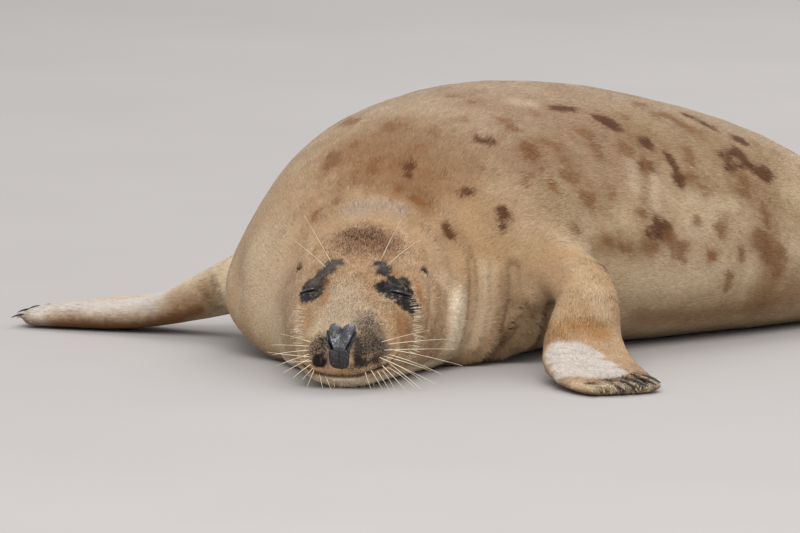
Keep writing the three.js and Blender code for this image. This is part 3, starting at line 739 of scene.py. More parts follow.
# Spots: pixel, radius in pixels, and half length of a long spot, across and down.
DARK_SPOTS = [
    (484, 140, 5, 6, 1), (408, 168, 5, 0, 4), (465, 192, 4.5, 4, 0), (449, 231, 5, 3, 4),
    (503, 220, 6.5, -1, 5), (563, 107, 4.5, 8, 0), (602, 119, 5.5, 3, 1), (614, 124, 6, 4, 2),
    (648, 144, 6.5, 0, 1), (672, 161, 5, 4, 6), (679, 180, 6, 1, 2), (710, 125, 6, 6, 3),
    (727, 156, 9, 1, 1), (746, 161, 8.5, 3, 3), (741, 140, 6.5, 1, 1), (762, 171, 7, 3, 2),
    (660, 226, 8.5, 2, 3), (526, 147, 4.5, 2, 0), (531, 154, 4, 0, 1), (418, 199, 3.5, 4, 2),
    (642, 164, 3.5, 0, 1), (651, 165, 3, 0, 1), (690, 115, 4.5, 4, 1),
]
BROWN_SPOTS = [
    (390, 125, 7, 0, 0), (436, 131, 5, 1, 0), (452, 95, 3, 3, 0), (477, 100, 4.5, 3, 0),
    (510, 124, 6, 2, 3), (537, 112, 3, 1, 0), (551, 143, 6.5, 4, 1), (373, 166, 6, 0, 4),
    (444, 174, 4, 0, 2), (481, 168, 4, 0, 0), (526, 178, 4.5, 0, 5), (587, 133, 6, 3, 1),
    (598, 149, 5.5, 1, 3), (629, 149, 6, 2, 3), (627, 117, 4, 0, 0), (664, 115, 6, 5, 1),
    (647, 163, 9, 0, 2), (572, 178, 9.5, 2, 2), (676, 245, 8, 4, 4), (643, 213, 5.5, 1, 0),
    (698, 221, 4, 0, 0), (724, 228, 8, 0, 1), (743, 253, 7, 0, 2), (729, 279, 7, 0, 0),
    (577, 230, 6, 0, 0), (336, 199, 5, 0, 0), (608, 241, 5, 2, 1), (626, 249, 5, 3, 1),
    (766, 212, 8, 1, 5), (763, 240, 9, 2, 6), (776, 262, 9, 1, 8), (529, 150, 9, 2, 1),
    (705, 190, 6, 0, 0), (690, 156, 5.5, 1, 4), (692, 173, 6, 0, 0), (688, 126, 6, 3, 1),
    (640, 103, 4, 4, 0), (676, 103, 4, 3, 0), (652, 247, 5, 4, 1), (745, 185, 7, 0, 5),
    (350, 120, 7, 3, 0), (356, 175, 5, 0, 0), (330, 160, 7, 0, 4), (540, 168, 4, 0, 0),
    (565, 158, 5, 0, 0), (610, 190, 6, 1, 2), (590, 196, 6, 3, 2),
]
RUST_SPOTS = [
    (351, 145, 5, 0, 0), (420, 199, 5, 4, 2), (314, 214, 5.5, 0, 0), (712, 256, 6, 0, 0),
    (402, 126, 4, 0, 0), (420, 145, 4, 0, 0), (465, 118, 3.5, 0, 0), (398, 187, 4, 1, 0),
    (553, 185, 5, 0, 0),
]
SPOT_GROWTH = {"dark": 1.22, "brown": 1.16, "rust": 1.16}
HALO = 1.9  # a soft brown ring round a spot reaches this many times its radius
HIDDEN_SPOTS = 110  # of the same kinds, on what the camera doesn't see
SHADE = {"dark": ("spot", 0.92), "brown": ("brown", 0.74), "rust": ("rust", 0.8)}

USUAL_SOFTNESS = 0.9  # of a mark's edge

# Soft clouds of colour: name, line of pixels, radius in pixels, strength and, where it isn't the
# usual one, the softness of the edge.
CLOUDS = [
    ("brown", [(360, 155), (385, 140), (425, 150), (445, 165)], 40, 0.62),
    ("rust", [(375, 160), (405, 175), (425, 195)], 24, 0.30),
    ("brown", [(395, 175), (420, 190)], 26, 0.45),
    ("brown", [(480, 105), (560, 120), (640, 140)], 34, 0.34),
    ("brown", [(520, 160), (590, 165), (640, 180)], 24, 0.34),
    ("pale", [(262, 250), (256, 290), (272, 325)], 30, 0.60),
    ("olive", [(640, 130), (700, 145), (760, 165)], 34, 0.55),
    ("olive", [(690, 182), (748, 190)], 13, 0.55),
    ("olive", [(545, 200), (600, 205)], 20, 0.45),
    ("olive", [(600, 245), (650, 246)], 14, 0.70),
    ("brown", [(766, 200), (768, 285)], 19, 0.45),
    ("pale", [(632, 158), (636, 186)], 8, 0.55),
    ("pale", [(655, 178), (656, 208)], 6, 0.60),
    ("pale", [(694, 224), (714, 222)], 10, 0.50),
    ("pale", [(774, 186), (795, 196)], 14, 0.15),
    ("brown", [(770, 300), (795, 290)], 22, 0.60),
    ("olive", [(775, 195), (795, 215)], 16, 0.45),
    ("pale", [(562, 240), (588, 250)], 10, 0.35),
    ("pale", [(516, 100), (530, 101)], 8, 0.35),
    ("pale", [(690, 198), (735, 206)], 8, 0.40),
    ("tan", [(470, 215), (478, 260)], 26, 0.55),
    ("tan", [(505, 255), (560, 252), (590, 275)], 20, 0.45),
    # Painted shade where the cheek meets the neck behind the fringe, on fur that is partly brown.
    ("brown", [(404, 320), (424, 318), (432, 335)], 14, 0.30),
    ("nape", [(350, 211), (372, 205), (400, 211)], 9, 0.45),
    # Painted highlights down the lit ridges of the neck, on fur that is partly pale.
    ("cream", [(458, 304), (453, 342)], 11, 0.95),
    ("pale", [(440, 278), (456, 290), (460, 310)], 9, 0.35),
    ("pale", [(488, 270), (482, 320), (470, 345)], 9, 0.45),
    ("pale", [(570, 262), (588, 282), (606, 318)], 8, 0.25),
    ("olive", [(548, 250), (566, 262)], 16, 0.25),
    ("pale", [(640, 285), (700, 280), (750, 270)], 14, 0.35),
    ("orange", [(556, 332), (580, 325), (602, 331)], 10, 0.68),
    ("orange", [(549, 346), (556, 336)], 7, 0.5),
    ("brown", [(547, 362), (566, 384)], 5, 0.35),
    # Painted shade in the creases: a brown line down the top of the main neck fold, and below it dark
    # damp fur, partly painted shade, in the folds of the neck, at its foot, beside the arm, at the far
    # flipper's root and between the near paw's digits.
    ("brown", [(514, 262), (514, 285)], 5, 0.45),
    ("damp", [(514, 288), (509, 322), (493, 356)], 5, 0.75, 0.8),
    ("damp", [(527, 308), (517, 328), (503, 350)], 13, 0.52, 0.8),
    ("damp", [(550, 304), (546, 320), (541, 336), (530, 352), (518, 362)], 6, 0.80),
    ("damp", [(480, 362), (500, 360), (532, 358)], 9, 0.6, 0.8),
    ("pale", [(602, 388), (620, 386), (645, 384)], 9, 0.95),
    ("damp", [(214, 306), (210, 286)], 9, 0.55),
    ("damp", [(588, 382), (605, 394)], 2.8, 0.85, 0.8),
    ("damp", [(606, 379), (621, 392)], 2.8, 0.9, 0.8),
    ("damp", [(621, 375), (635, 389)], 2.8, 0.9, 0.8),
    ("damp", [(634, 373), (647, 385)], 2.8, 0.85, 0.8),
    ("brown", [(140, 306), (205, 290)], 12, 0.50),
    ("dusty", [(40, 307), (100, 303), (150, 297)], 19, 0.85),
    ("brown", [(60, 326), (110, 328), (160, 325), (200, 308)], 13, 1.0, 0.8),
    ("low", [(480, 362), (530, 358)], 14, 0.7, 0.8),
    ("pale", [(455, 356), (435, 364)], 9, 0.5, 0.8),
    ("brown", [(640, 318), (700, 316), (760, 308)], 12, 0.45),
]

# Marks of the head, in the same way.
HEAD_MARKS = [
    ("crown", [(351, 236), (377, 238)], 20, 0.90),
    ("muzzle", [(345, 300), (343, 318)], 26, 0.7, 0.8),
    ("pale", [(320, 322), (312, 332)], 9, 0.4),
    # Orange-brown at an eye's inner corner, partly painted shade of the socket.
    ("orange", [(366, 274), (374, 284), (372, 296)], 9, 0.40),
    ("orange", [(388, 280), (396, 273)], 8, 0.62),
    ("orange", [(420, 284), (420, 298)], 5, 0.60),
    # Orange-brown at the other eye's inner corner, partly painted shade of the socket.
    ("orange", [(326, 280), (324, 290), (323, 300)], 6, 0.62),
    # Painted shade in the creases on the inner side of both cheek fringes, on fur that is partly
    # orange-brown.
    ("orange", [(305, 306), (306, 324)], 7, 0.35),
    ("orange", [(396, 310), (400, 330)], 9, 0.42),
    ("rust", [(404, 320), (407, 342)], 8, 0.50),
    ("orange", [(306, 340), (310, 366)], 4, 0.40),
    ("orange", [(318, 372), (345, 372), (378, 367)], 4, 0.30),
    ("ash", [(362, 346), (380, 344)], 14, 0.80, 0.8),
    ("ash", [(366, 322), (374, 332)], 11, 0.50),
    ("ash", [(317, 352), (320, 345)], 9, 0.60, 0.8),
    ("wet", [(334, 262), (327, 270)], 9.0, 0.88, 0.35),
    ("wet", [(327, 271), (316, 280), (308, 287)], 9.4, 0.92, 0.35),
    ("wet", [(304, 292), (319, 291)], 6.4, 0.90, 0.35),
    ("ash", [(334, 262), (327, 270), (314, 281)], 7, 0.55),
    ("wet", [(303, 298), (312, 299)], 4.6, 0.9, 0.5),
    ("wet", [(380, 264), (383, 269)], 8.4, 0.98, 0.35),
    ("wet", [(382, 287), (396, 289), (411, 293)], 5.8, 0.97, 0.35),
    ("wet", [(394, 282), (407, 283)], 7.2, 0.98, 0.35),
    ("wet", [(386, 285), (402, 287)], 7.2, 0.98, 0.35),
    ("ash", [(323, 340), (326, 362)], 4, 0.7, 0.8),
    ("wet", [(391, 294), (401, 297), (413, 301)], 7.4, 0.98, 0.35),
    ("wet", [(405, 304), (411, 309)], 6.2, 0.95, 0.45),
    ("wet", [(316, 360), (321, 362)], 5.6, 0.98, 0.3),
    ("wet", [(356, 362), (366, 363), (377, 360)], 4.4, 0.85, 0.6),
    ("wet", [(357, 340), (357, 358)], 4.0, 0.7, 0.7),
]
# Where the fur has dark specks, in the same way.
SPECKLED = [
    ("speck", [(354, 233), (370, 235)], 16, 0.85),
    ("speck", [(350, 241), (382, 242)], 19, 0.60),
    ("speck", [(336, 284), (376, 286)], 26, 0.20),
    ("speck", [(330, 316), (352, 312)], 10, 0.25),
    ("speck", [(366, 352), (377, 346)], 14, 1.0, 0.6),
    ("speck", [(362, 340), (374, 322)], 13, 0.85, 0.8),
    ("speck", [(317, 352), (320, 343)], 10, 1.0, 0.6),
    ("speck", [(345, 300), (372, 300)], 14, 0.22),
    ("speck", [(350, 368), (375, 366)], 6, 0.6, 0.8),
    ("speck", [(383, 290), (388, 303)], 7, 0.5),
    ("speck", [(512, 322), (528, 318)], 12, 0.12),
    ("speck", [(606, 378), (640, 386)], 12, 0.35),
]
# Sand that sticks to the near paw: line and radius in pixels.
SAND_ON_PAW = [
    ([(553, 351), (572, 348), (594, 354)], 11),
    ([(553, 358), (578, 357), (606, 363)], 12),
    ([(558, 365), (584, 365), (616, 370)], 12),
    ([(562, 371), (590, 373), (608, 375)], 12),
]


class Place:
    """Points of the animal, with their places and the noise that the markings share."""

    def __init__(self, points, limbs):
        self.points = points
        self.s, self.u, self.z = to_body(points).T
        self.limbs = limbs
        self.grain = noise(points, 0.0022, 11)
        self.ragged = noise(points, 0.007, 12)
        self.lumps = noise(points, 0.02, 13)

    def near(self, line, radius, edge, uneven=1.0):
        """1 on the line, 0 further off than the radius, with an uneven edge."""
        line = np.atleast_2d(line)
        middle = line.mean(0)
        reach = np.linalg.norm(line - middle, axis=1).max() + radius * 2.6
        found = np.flatnonzero(((self.points - middle) ** 2).sum(1) < reach * reach)
        wobble = 0.16 * self.grain[found] + 0.22 * self.ragged[found]
        if radius > 0.0075:
            wobble = wobble + 0.3 * self.lumps[found]
        d = distance(self.points[found], line) / radius + wobble * uneven
        share = np.zeros(len(self.points))
        share[found] = 1 - smooth(d, 1 - edge, 1 + edge)
        return share


def pixels_wide(px):
    return px / VIEW["scale"]


def photographed_spots():
    """Kind, line on the skin and radius of each spot of the photo."""
    spots = []
    for kind, rows in (("dark", DARK_SPOTS), ("brown", BROWN_SPOTS), ("rust", RUST_SPOTS)):
        for px, py, radius, dx, dy in rows:
            line = skin.trace((px - dx, py - dy), (px + dx, py + dy))
            spots.append((kind, line, pixels_wide(radius) * SPOT_GROWTH[kind]))
    return spots


def hidden_spots():
    """The same of as many spots as the photo doesn't show."""
    spots = []
    while len(spots) < HIDDEN_SPOTS:
        s = random.uniform(0.26, 1.08)
        angle = random.uniform(-0.25, math.pi + 0.25)
        size = random.uniform(0.003, 0.0095)
        turn = random.uniform(0, math.pi)
        stretch = random.uniform(0, 0.009)
        kind = ("dark", "brown", "brown")[random.integers(3)]
        middle = world(s, 0, 0.09)
        left, back = ways(s)
        out = left * math.cos(angle) + np.array([0, 0, math.sin(angle)])
        hit, normal, _, _ = skin.bvh.ray_cast(Vector(middle + out * 0.6), Vector(-out))
        if hit is None:
            continue
        hit, normal = np.array(hit), np.array(normal)
        to_camera = unit(EYE_POINT - hit)
        if to_camera @ normal > 0.12 and s < 0.95 and seen(hit + normal * 0.002):
            continue
        along_skin = unit(back * math.cos(turn) + np.cross(normal, back) * math.sin(turn)) * stretch
        spots.append((kind, np.array([hit - along_skin, hit + along_skin]), size))
    return spots


def seen(point):
    """Whether the camera's picture shows this point."""
    way = CAMERA_AXES.T @ (point - EYE_POINT)
    px = PICTURE[0] / 2 + FOCAL * way[0] / -way[2]
    if not -10 < px < PICTURE[0] + 10:
        return False
    hit, _, _, _ = skin.bvh.ray_cast(Vector(EYE_POINT), Vector(unit(point - EYE_POINT)))
    return hit is None or np.linalg.norm(np.array(hit) - point) < 0.03


def cast_rows(table):
    """The rows of a table with their pixels as a line on the skin and their radius in metres."""
    rows = []
    for name, pixels, radius, strength, *edge in table:
        line = skin.trace(*pixels)
        rows.append((name, line, pixels_wide(radius), strength, *(edge or [USUAL_SOFTNESS])))
    return rows


def prepare_markings():
    """Every marking as a line on the skin, cast once."""
    return {
        "clouds": cast_rows(CLOUDS),
        "marks": cast_rows(HEAD_MARKS),
        "specks": cast_rows(SPECKLED),
        "sand": [(skin.trace(*pixels), pixels_wide(radius)) for pixels, radius in SAND_ON_PAW],
        "spots": photographed_spots() + hidden_spots(),
    }


def trunk_colour(place):
    """Greyer above, buff on the flanks and darker below, with soft brown and pale patches."""
    s, z, c = place.s, place.z, COLOURS
    broad = noise(place.points, 0.09, 21) * 0.6 + place.lumps * 0.4
    low = 1 - smooth(z + 0.012 * place.lumps, 0.015, 0.1)
    colour = mix(c["flank"], c["back"], smooth(z, 0.15, 0.27))
    colour = mix(colour, c["buff"], 1 - smooth(s, 0.2, 0.34))
    colour = mix(colour, c["low"], 0.75 * low * smooth(s, 0.2, 0.3))
    colour = mix(colour, c["belly"], 1 - smooth(z, 0.0, 0.02))
    upper = smooth(z, 0.08, 0.2) * smooth(s, 0.25, 0.35)
    colour = mix(colour, c["brown"], 0.30 * smooth(broad, 0.0, 0.8) * upper)
    mottled = layered(place.points, 0.030, 3, 23) + 0.3 * place.ragged
    colour = mix(colour, c["brown"], 0.38 * smooth(mottled, 0.25, 1.1) * upper)
    colour = mix(colour, c["pale"], 0.3 * smooth(-broad, 0.1, 0.9))
    return colour * (1 + 0.05 * place.ragged + 0.05 * place.grain)[:, None]


def head_colour(place, colour):
    """A redder crown, a pale chin that is partly its fur and partly painted light thrown up from the
    floor, mottled with orange and pale.
    """
    s, u, z, c = place.s, place.u, place.z, COLOURS
    head = 1 - smooth(s, 0.15, 0.2)
    crown = bell(s - 0.128, 0.04) * bell(u, 0.06) * smooth(z, 0.1, 0.13)
    colour = mix(colour, c["crown"], 0.35 * head * crown)
    # The chin: partly pale fur, partly painted light thrown up from the floor.
    colour = mix(colour, c["chin"], 0.85 * head * (1 - smooth(z, 0.010, 0.018)))
    for name, share, size, seed, low, high in (
        ("orange", 0.32, 0.014, 24, 0.1, 1.0),
        ("pale", 0.30, 0.012, 25, 0.2, 1.1),
    ):
        lumps = smooth(layered(place.points, size, 3, seed), low, high)
        colour = mix(colour, c[name], share * head * lumps)
    return colour * (1 + 0.16 * head * layered(place.points, 0.005, 2, 22))[:, None]


def flipper_colour(place, colour):
    """The flippers are paler above and browner at their lower edge."""
    z, c = place.z, COLOURS
    fore, hind = place.limbs[:, :2].sum(1), place.limbs[:, 2:].sum(1)
    above = smooth(z + 0.004 * place.ragged, 0.008, 0.03)
    colour = mix(colour, c["pale"], 0.75 * place.limbs[:, 1] * above)
    colour = mix(colour, c["buff"], 0.6 * place.limbs[:, 0])
    colour = mix(colour, c["brown"], 0.5 * fore * (1 - smooth(z, 0.004, 0.014)))
    return mix(colour, c["brown"], 0.45 * hind * smooth(place.lumps + place.ragged, -0.4, 0.7))


def spotted(place, colour):
    """The soft clouds, then the spots with a brown ring round each."""
    for name, line, radius, strength, edge in MARKINGS["clouds"]:
        colour = mix(colour, COLOURS[name], strength * place.near(line, radius, edge))
    for kind, line, radius in MARKINGS["spots"]:
        colour = mix(colour, COLOURS["brown"], 0.28 * place.near(line, radius * HALO, 0.9))
    for kind, line, radius in MARKINGS["spots"]:
        name, strength = SHADE[kind]
        colour = mix(colour, COLOURS[name], strength * place.near(line, radius, 0.5, 2.4))
    return colour


def head_marked(place, colour):
    """The marks of the head, and how wet each point is."""
    wet = np.zeros(len(place.s))
    uneven_black = 0.45 * smooth(place.grain + place.ragged, 0.2, 0.9)
    black = mix(COLOURS["wet"], COLOURS["eye_rim"], uneven_black)
    for name, line, radius, strength, edge in MARKINGS["marks"]:
        if name == "wet":
            share = strength * place.near(line, radius, edge, 2.1)
            wet = np.maximum(wet, share)
            colour = mix(colour, black, share)
        else:
            colour = mix(colour, COLOURS[name], strength * place.near(line, radius, edge))
    return colour, wet


def markings(place):
    """Colour, share of dark specks, wetness and sand at each point."""
    colour = flipper_colour(place, head_colour(place, trunk_colour(place)))
    colour, wet = head_marked(place, spotted(place, colour))
    specks = np.zeros(len(place.s))
    for _, line, radius, strength, edge in MARKINGS["specks"]:
        specks = np.maximum(specks, strength * place.near(line, radius, edge))
    sand = np.zeros(len(place.s))
    for line, radius in MARKINGS["sand"]:
        sand = np.maximum(sand, place.near(line, radius, 0.32, 0.8))
    sand *= smooth(place.limbs[:, 0], 0.3, 0.7)
    grit = COLOURS["sand"] * (1 + 0.16 * place.grain + 0.08 * place.ragged)[:, None]
    colour = mix(colour, grit, 0.92 * sand)
    return np.clip(colour, 0.004, 1), np.clip(specks, 0, 1), wet, sand


# ------------------------------------------------------------------ materials

class Nodes:
    """A material's node tree, built from the shader back."""

    def __init__(self, name):
        self.material = bpy.data.materials.new(name)
        self.material.use_nodes = True
        self.tree = self.material.node_tree
        self.shader = self.tree.nodes["Principled BSDF"]

    def add(self, kind, inputs=None, **settings):
        node = self.tree.nodes.new(kind)
        for key, value in settings.items():
            setattr(node, key, value)
        for key, value in (inputs or {}).items():
            self.put(node.inputs[key], value)
        return node

    def put(self, socket, value):
        if isinstance(value, bpy.types.NodeSocket):
            self.tree.links.new(value, socket)
        else:
            socket.default_value = value

    def set(self, **values):
        for key, value in values.items():
            self.put(self.shader.inputs[key.replace("_", " ")], value)

    def attribute(self, name, kind="Color"):
        return self.add("ShaderNodeAttribute", attribute_name=name).outputs[kind]

    def state(self):
        """Sockets of the shares of dark specks (red), wetness (green) and sand (blue)."""
        return self.add("ShaderNodeSeparateColor", {"Color": self.attribute("State")}).outputs

    def shaded(self, colour, value, darkest, lightest, low=0.3, high=0.7):
        """The colour made darker and lighter by a value."""
        shade = self.ramp(value, low, high, darkest, lightest)
        grey = self.add("ShaderNodeCombineColor", {0: shade, 1: shade, 2: shade}).outputs[0]
        return self.mix(colour, grey, 1.0, "MULTIPLY")

    def smoother_wet(self, dry, change):
        """A roughness that falls from its dry value where the coat is wet."""
        return self.math("SUBTRACT", dry, self.math("MULTIPLY", self.state()["Green"], change))

    def noise(self, scale, detail=2.0, roughness=0.5, where=None):
        where = where or self.add("ShaderNodeTexCoord").outputs["Object"]
        node = self.add("ShaderNodeTexNoise", {"Vector": where, "Scale": scale, "Detail": detail})
        node.inputs["Roughness"].default_value = roughness
        return node.outputs["Fac"]

    def ramp(self, value, low, high, out_low=0.0, out_high=1.0):
        ends = {"From Min": low, "From Max": high, "To Min": out_low, "To Max": out_high}
        return self.add("ShaderNodeMapRange", {"Value": value, **ends}).outputs["Result"]

    def math(self, operation, a, b):
        return self.add("ShaderNodeMath", {0: a, 1: b}, operation=operation).outputs[0]

    def mix(self, a, b, share, blend="MIX"):
        node = self.add("ShaderNodeMix", data_type="RGBA", blend_type=blend)
        for socket, value in ((node.inputs[0], share), (node.inputs[6], a), (node.inputs[7], b)):
            self.put(socket, value)
        return node.outputs[2]

    def bump(self, height, strength, distance, normal=None):
        node = self.add("ShaderNodeBump", {"Height": height, "Strength": strength, "Distance": distance})
        if normal:
            self.put(node.inputs["Normal"], normal)
        return node.outputs["Normal"]


def rgba(colour):
    return (*[float(v) for v in colour.ravel()], 1.0)


def skin_material():
    """Short fur seen close: speckled, with a fine grain drawn out along its lie."""
    m = Nodes("seal_coat_skin")
    specks, sand = m.state()["Red"], m.state()["Blue"]
    strands = m.noise(1.0, 3, 0.6, m.attribute("FurPlace", "Vector"))
    flecks = m.ramp(m.noise(520, 1), 0.46, 0.56)
    colour = m.attribute("Coat")
    colour = m.mix(colour, rgba(COLOURS["speck"]), m.math("MULTIPLY", flecks, specks))
    colour = m.shaded(colour, strands, 0.8, 1.16)
    fur = m.bump(strands, 0.35, 0.0010)
    grain = m.bump(m.noise(900, 2), m.math("MULTIPLY", sand, 0.6), 0.001, fur)
    m.set(Base_Color=colour, Roughness=m.smoother_wet(0.86, 0.42), Normal=grain)
    m.set(Specular_IOR_Level=0.15)
    return m.material


def tuft_material():
    """A lock of short hair."""
    m = Nodes("seal_coat_tufts")
    colour = m.shaded(m.attribute("Coat"), m.noise(1400, 1), 0.86, 1.12, 0.25, 0.75)
    m.set(Base_Color=colour, Roughness=m.smoother_wet(0.72, 0.34))
    m.set(Specular_IOR_Level=0.08, Sheen_Weight=0.08, Sheen_Roughness=0.5)
    return m.material


def nose_material():
    """Bare pebbled skin, moist."""
    m = Nodes("seal_nose_skin")
    where = m.add("ShaderNodeTexCoord").outputs["Object"]
    cells = m.add("ShaderNodeTexVoronoi", {"Vector": where, "Scale": 780.0}, feature="SMOOTH_F1")
    cells.inputs["Smoothness"].default_value = 0.4
    hollows = cells.outputs["Distance"]
    pebbles = m.bump(hollows, 0.8, 0.0009)
    folds = m.bump(m.noise(260, 3, 0.6), 0.35, 0.0008, pebbles)
    black, grey = (0.012, 0.011, 0.012, 1), (0.16, 0.16, 0.17, 1)
    colour = m.mix(m.attribute("Coat"), black, m.ramp(hollows, 0.35, 0.75, 0.0, 0.6))
    colour = m.mix(colour, grey, m.ramp(m.noise(1500, 1), 0.6, 0.75, 0.0, 0.25))
    m.set(Base_Color=colour, Roughness=m.ramp(m.noise(420, 2), 0.3, 0.7, 0.26, 0.5), Normal=folds)
    m.set(Specular_IOR_Level=0.42, Coat_Weight=0.6, Coat_Roughness=0.13)
    return m.material


def lid_material():
    """Dark thin skin with a moist margin."""
    m = Nodes("seal_lid_skin")
    grain = m.noise(900, 2, 0.6)
    colour = m.shaded(m.attribute("Coat"), grain, 0.75, 1.2)
    m.set(Base_Color=colour, Roughness=m.smoother_wet(0.78, 0.4), Normal=m.bump(grain, 0.4, 0.0008))
    m.set(Specular_IOR_Level=0.4)
    return m.material


def claw_material():
    """Dark horn, streaked along its length and worn paler at the tip."""
    m = Nodes("seal_claw_horn")
    place = m.attribute("ClawPlace", "Vector")
    streaks = m.noise(1.0, 3, 0.6, place)
    dark, pale = rgba(srgb(38, 33, 32)), rgba(srgb(104, 90, 78))
    along_claw = m.add("ShaderNodeSeparateXYZ", {"Vector": place}).outputs["X"]
    colour = m.mix(dark, pale, m.ramp(streaks, 0.5, 0.8, 0.0, 0.55))
    colour = m.mix(colour, pale, m.ramp(along_claw, 1.6, 2.2, 0.0, 0.35))
    m.set(Base_Color=colour, Roughness=m.ramp(streaks, 0.3, 0.7, 0.3, 0.5))
    m.set(Normal=m.bump(streaks, 0.3, 0.0005))
    return m.material


def whisker_material():
    m = Nodes("seal_whisker_hair")
    pale, tan = rgba(srgb(250, 240, 216)), rgba(srgb(226, 204, 168))
    m.set(Base_Color=m.mix(pale, tan, m.ramp(m.noise(60, 1), 0.45, 0.65)), Roughness=0.38)
    return m.material


# ------------------------------------------------------------------ closed shells over the skin

class Shell:
    """A thin closed piece laid on the skin, its rim sunk below it, on rings round a middle."""

    def __init__(self, middle, across, out, reach_of, rings, spokes):
        self.out = unit(np.asarray(out))
        self.across = unit(across - self.out * (across @ self.out))
        self.up = np.cross(self.out, self.across)
        if self.up[2] < 0:
            self.up = -self.up
        self.turned = np.cross(self.across, self.up) @ self.out < 0
        angle = np.linspace(0, 2 * math.pi, spokes, endpoint=False)
        self.share = (np.arange(1, rings + 1) / rings)[:, None] * np.ones(spokes)
        radius = self.share * reach_of(angle)
        self.x, self.y = radius * np.cos(angle), radius * np.sin(angle)
        flat = middle + self.x[..., None] * self.across + self.y[..., None] * self.up
        self.base = flat + self.out * self.heights(flat)[..., None]
        self.core = middle + self.out * self.heights(middle[None, None])[0, 0]

    def heights(self, flat, clear=0.04, rounds=14):
        """How high the skin lies over each flat point, made smooth."""
        starts = (flat + self.out * clear).reshape(-1, 3)
        hits = [skin.bvh.ray_cast(Vector(start), Vector(-self.out)) for start in starts]
        high = np.array([clear - h[3] if h[0] is not None else np.nan for h in hits])
        high = np.where(np.isnan(high), np.nanmin(high), high).reshape(flat.shape[:2])
        for _ in range(rounds if high.shape[0] > 1 else 0):
            padded = np.vstack([high[:1], high, high[-1:]])
            round_it = np.roll(high, 1, 1) + np.roll(high, -1, 1)
            high = 0.25 * (round_it + padded[:-2] + padded[2:])
        return high

    def build(self, name, relief, core_relief, thick):
        """Raises the base by the relief and closes it underneath."""
        top = self.base + self.out * relief[..., None]
        core = self.core + self.out * core_relief
        under = self.core - self.out * thick
        points = np.vstack([top.reshape(-1, 3), core, under])
        points[:, 2] = np.maximum(points[:, 2], FLOOR)
        faces = ring_faces(*self.share.shape)
        return make_mesh(name, points, faces[:, ::-1] if self.turned else faces)


NOSE = {"middle": 0.050, "thick": 0.006, "proud": 0.0012}
# Half of the nose pad's outline, out from the middle line and up, from the notch above to the foot.
NOSE_OUTLINE = np.array([
    (0, 0.0715), (0.004, 0.0742), (0.0085, 0.0757), (0.013, 0.0752), (0.0168, 0.0728),
    (0.0184, 0.0685), (0.0178, 0.0610), (0.0152, 0.0540), (0.0130, 0.0480), (0.0122, 0.0420),
    (0.0122, 0.0350), (0.0114, 0.0290), (0.0088, 0.0250), (0, 0.0230),
])
NOSTRIL = [(0.0162, 0.0722), (0.0152, 0.064), (0.0118, 0.0545), (0.0086, 0.0485)]


def flat_distance(x, y, line):
    """From places on the flat front of the nose to a line on it."""
    flat = np.column_stack([x.ravel(), y.ravel(), 0 * x.ravel()])
    points = np.array([(a, b, 0) for a, b in line])
    return distance(flat, points).reshape(x.shape)


def nose_reach(angle):
    """How far the nose pad's outline is from its middle, by the angle from the animal's left upwards."""
    half = NOSE_OUTLINE - [0, NOSE["middle"]]
    both = np.vstack([half, (half * [-1, 1])[-2:0:-1]])
    return np.interp(angle, np.arctan2(both[:, 1], both[:, 0]), np.hypot(*both.T), period=2 * math.pi)


def nose_share(points):
    """0 at the middle of the nose pad and 1 on its outline, as seen from the front."""
    left, back = ways(0.0)
    off = points - world(0.0, 0.0, NOSE["middle"])
    u = off @ left
    share = np.hypot(u, off[:, 2]) / nose_reach(np.arctan2(off[:, 2], u))
    return np.where(off @ back < 0.035, share, 9.0)


def nose_relief(shell, u, z, fine):
    """Wings above, nostrils with raised rims, the groove between them and a flat foot."""
    share = shell.share
    relief = NOSE["proud"] * (1 - smooth(share, 0.8, 0.97)) - 0.0022 * smooth(share, 0.9, 1.0)
    relief += 0.0030 * bell(np.abs(u) - 0.0085, 0.006) * bell(z - 0.066, 0.008)
    relief -= 0.0024 * bell(u, 0.0018) * smooth(z, 0.056, 0.070)
    relief -= 0.0011 * bell(u, 0.0009) * (1 - smooth(z, 0.044, 0.05))
    relief -= 0.0007 * (1 - smooth(z, 0.040, 0.056)) * (1 - share**4)
    relief += 0.0003 * bell(z - 0.0475, 0.0030) * (1 - share**2)
    for side in (1, -1):
        d = flat_distance(u * side, z, NOSTRIL)
        relief -= 0.0046 * bell(d, 0.0013)
        relief += 0.0007 * bell(d - 0.0024, 0.0013) * (np.abs(u) < 0.0155)
    rough = 0.00025 * noise(fine, 0.0016, 41) + 0.0007 * noise(fine, 0.0045, 42)
    return relief + rough.reshape(u.shape)


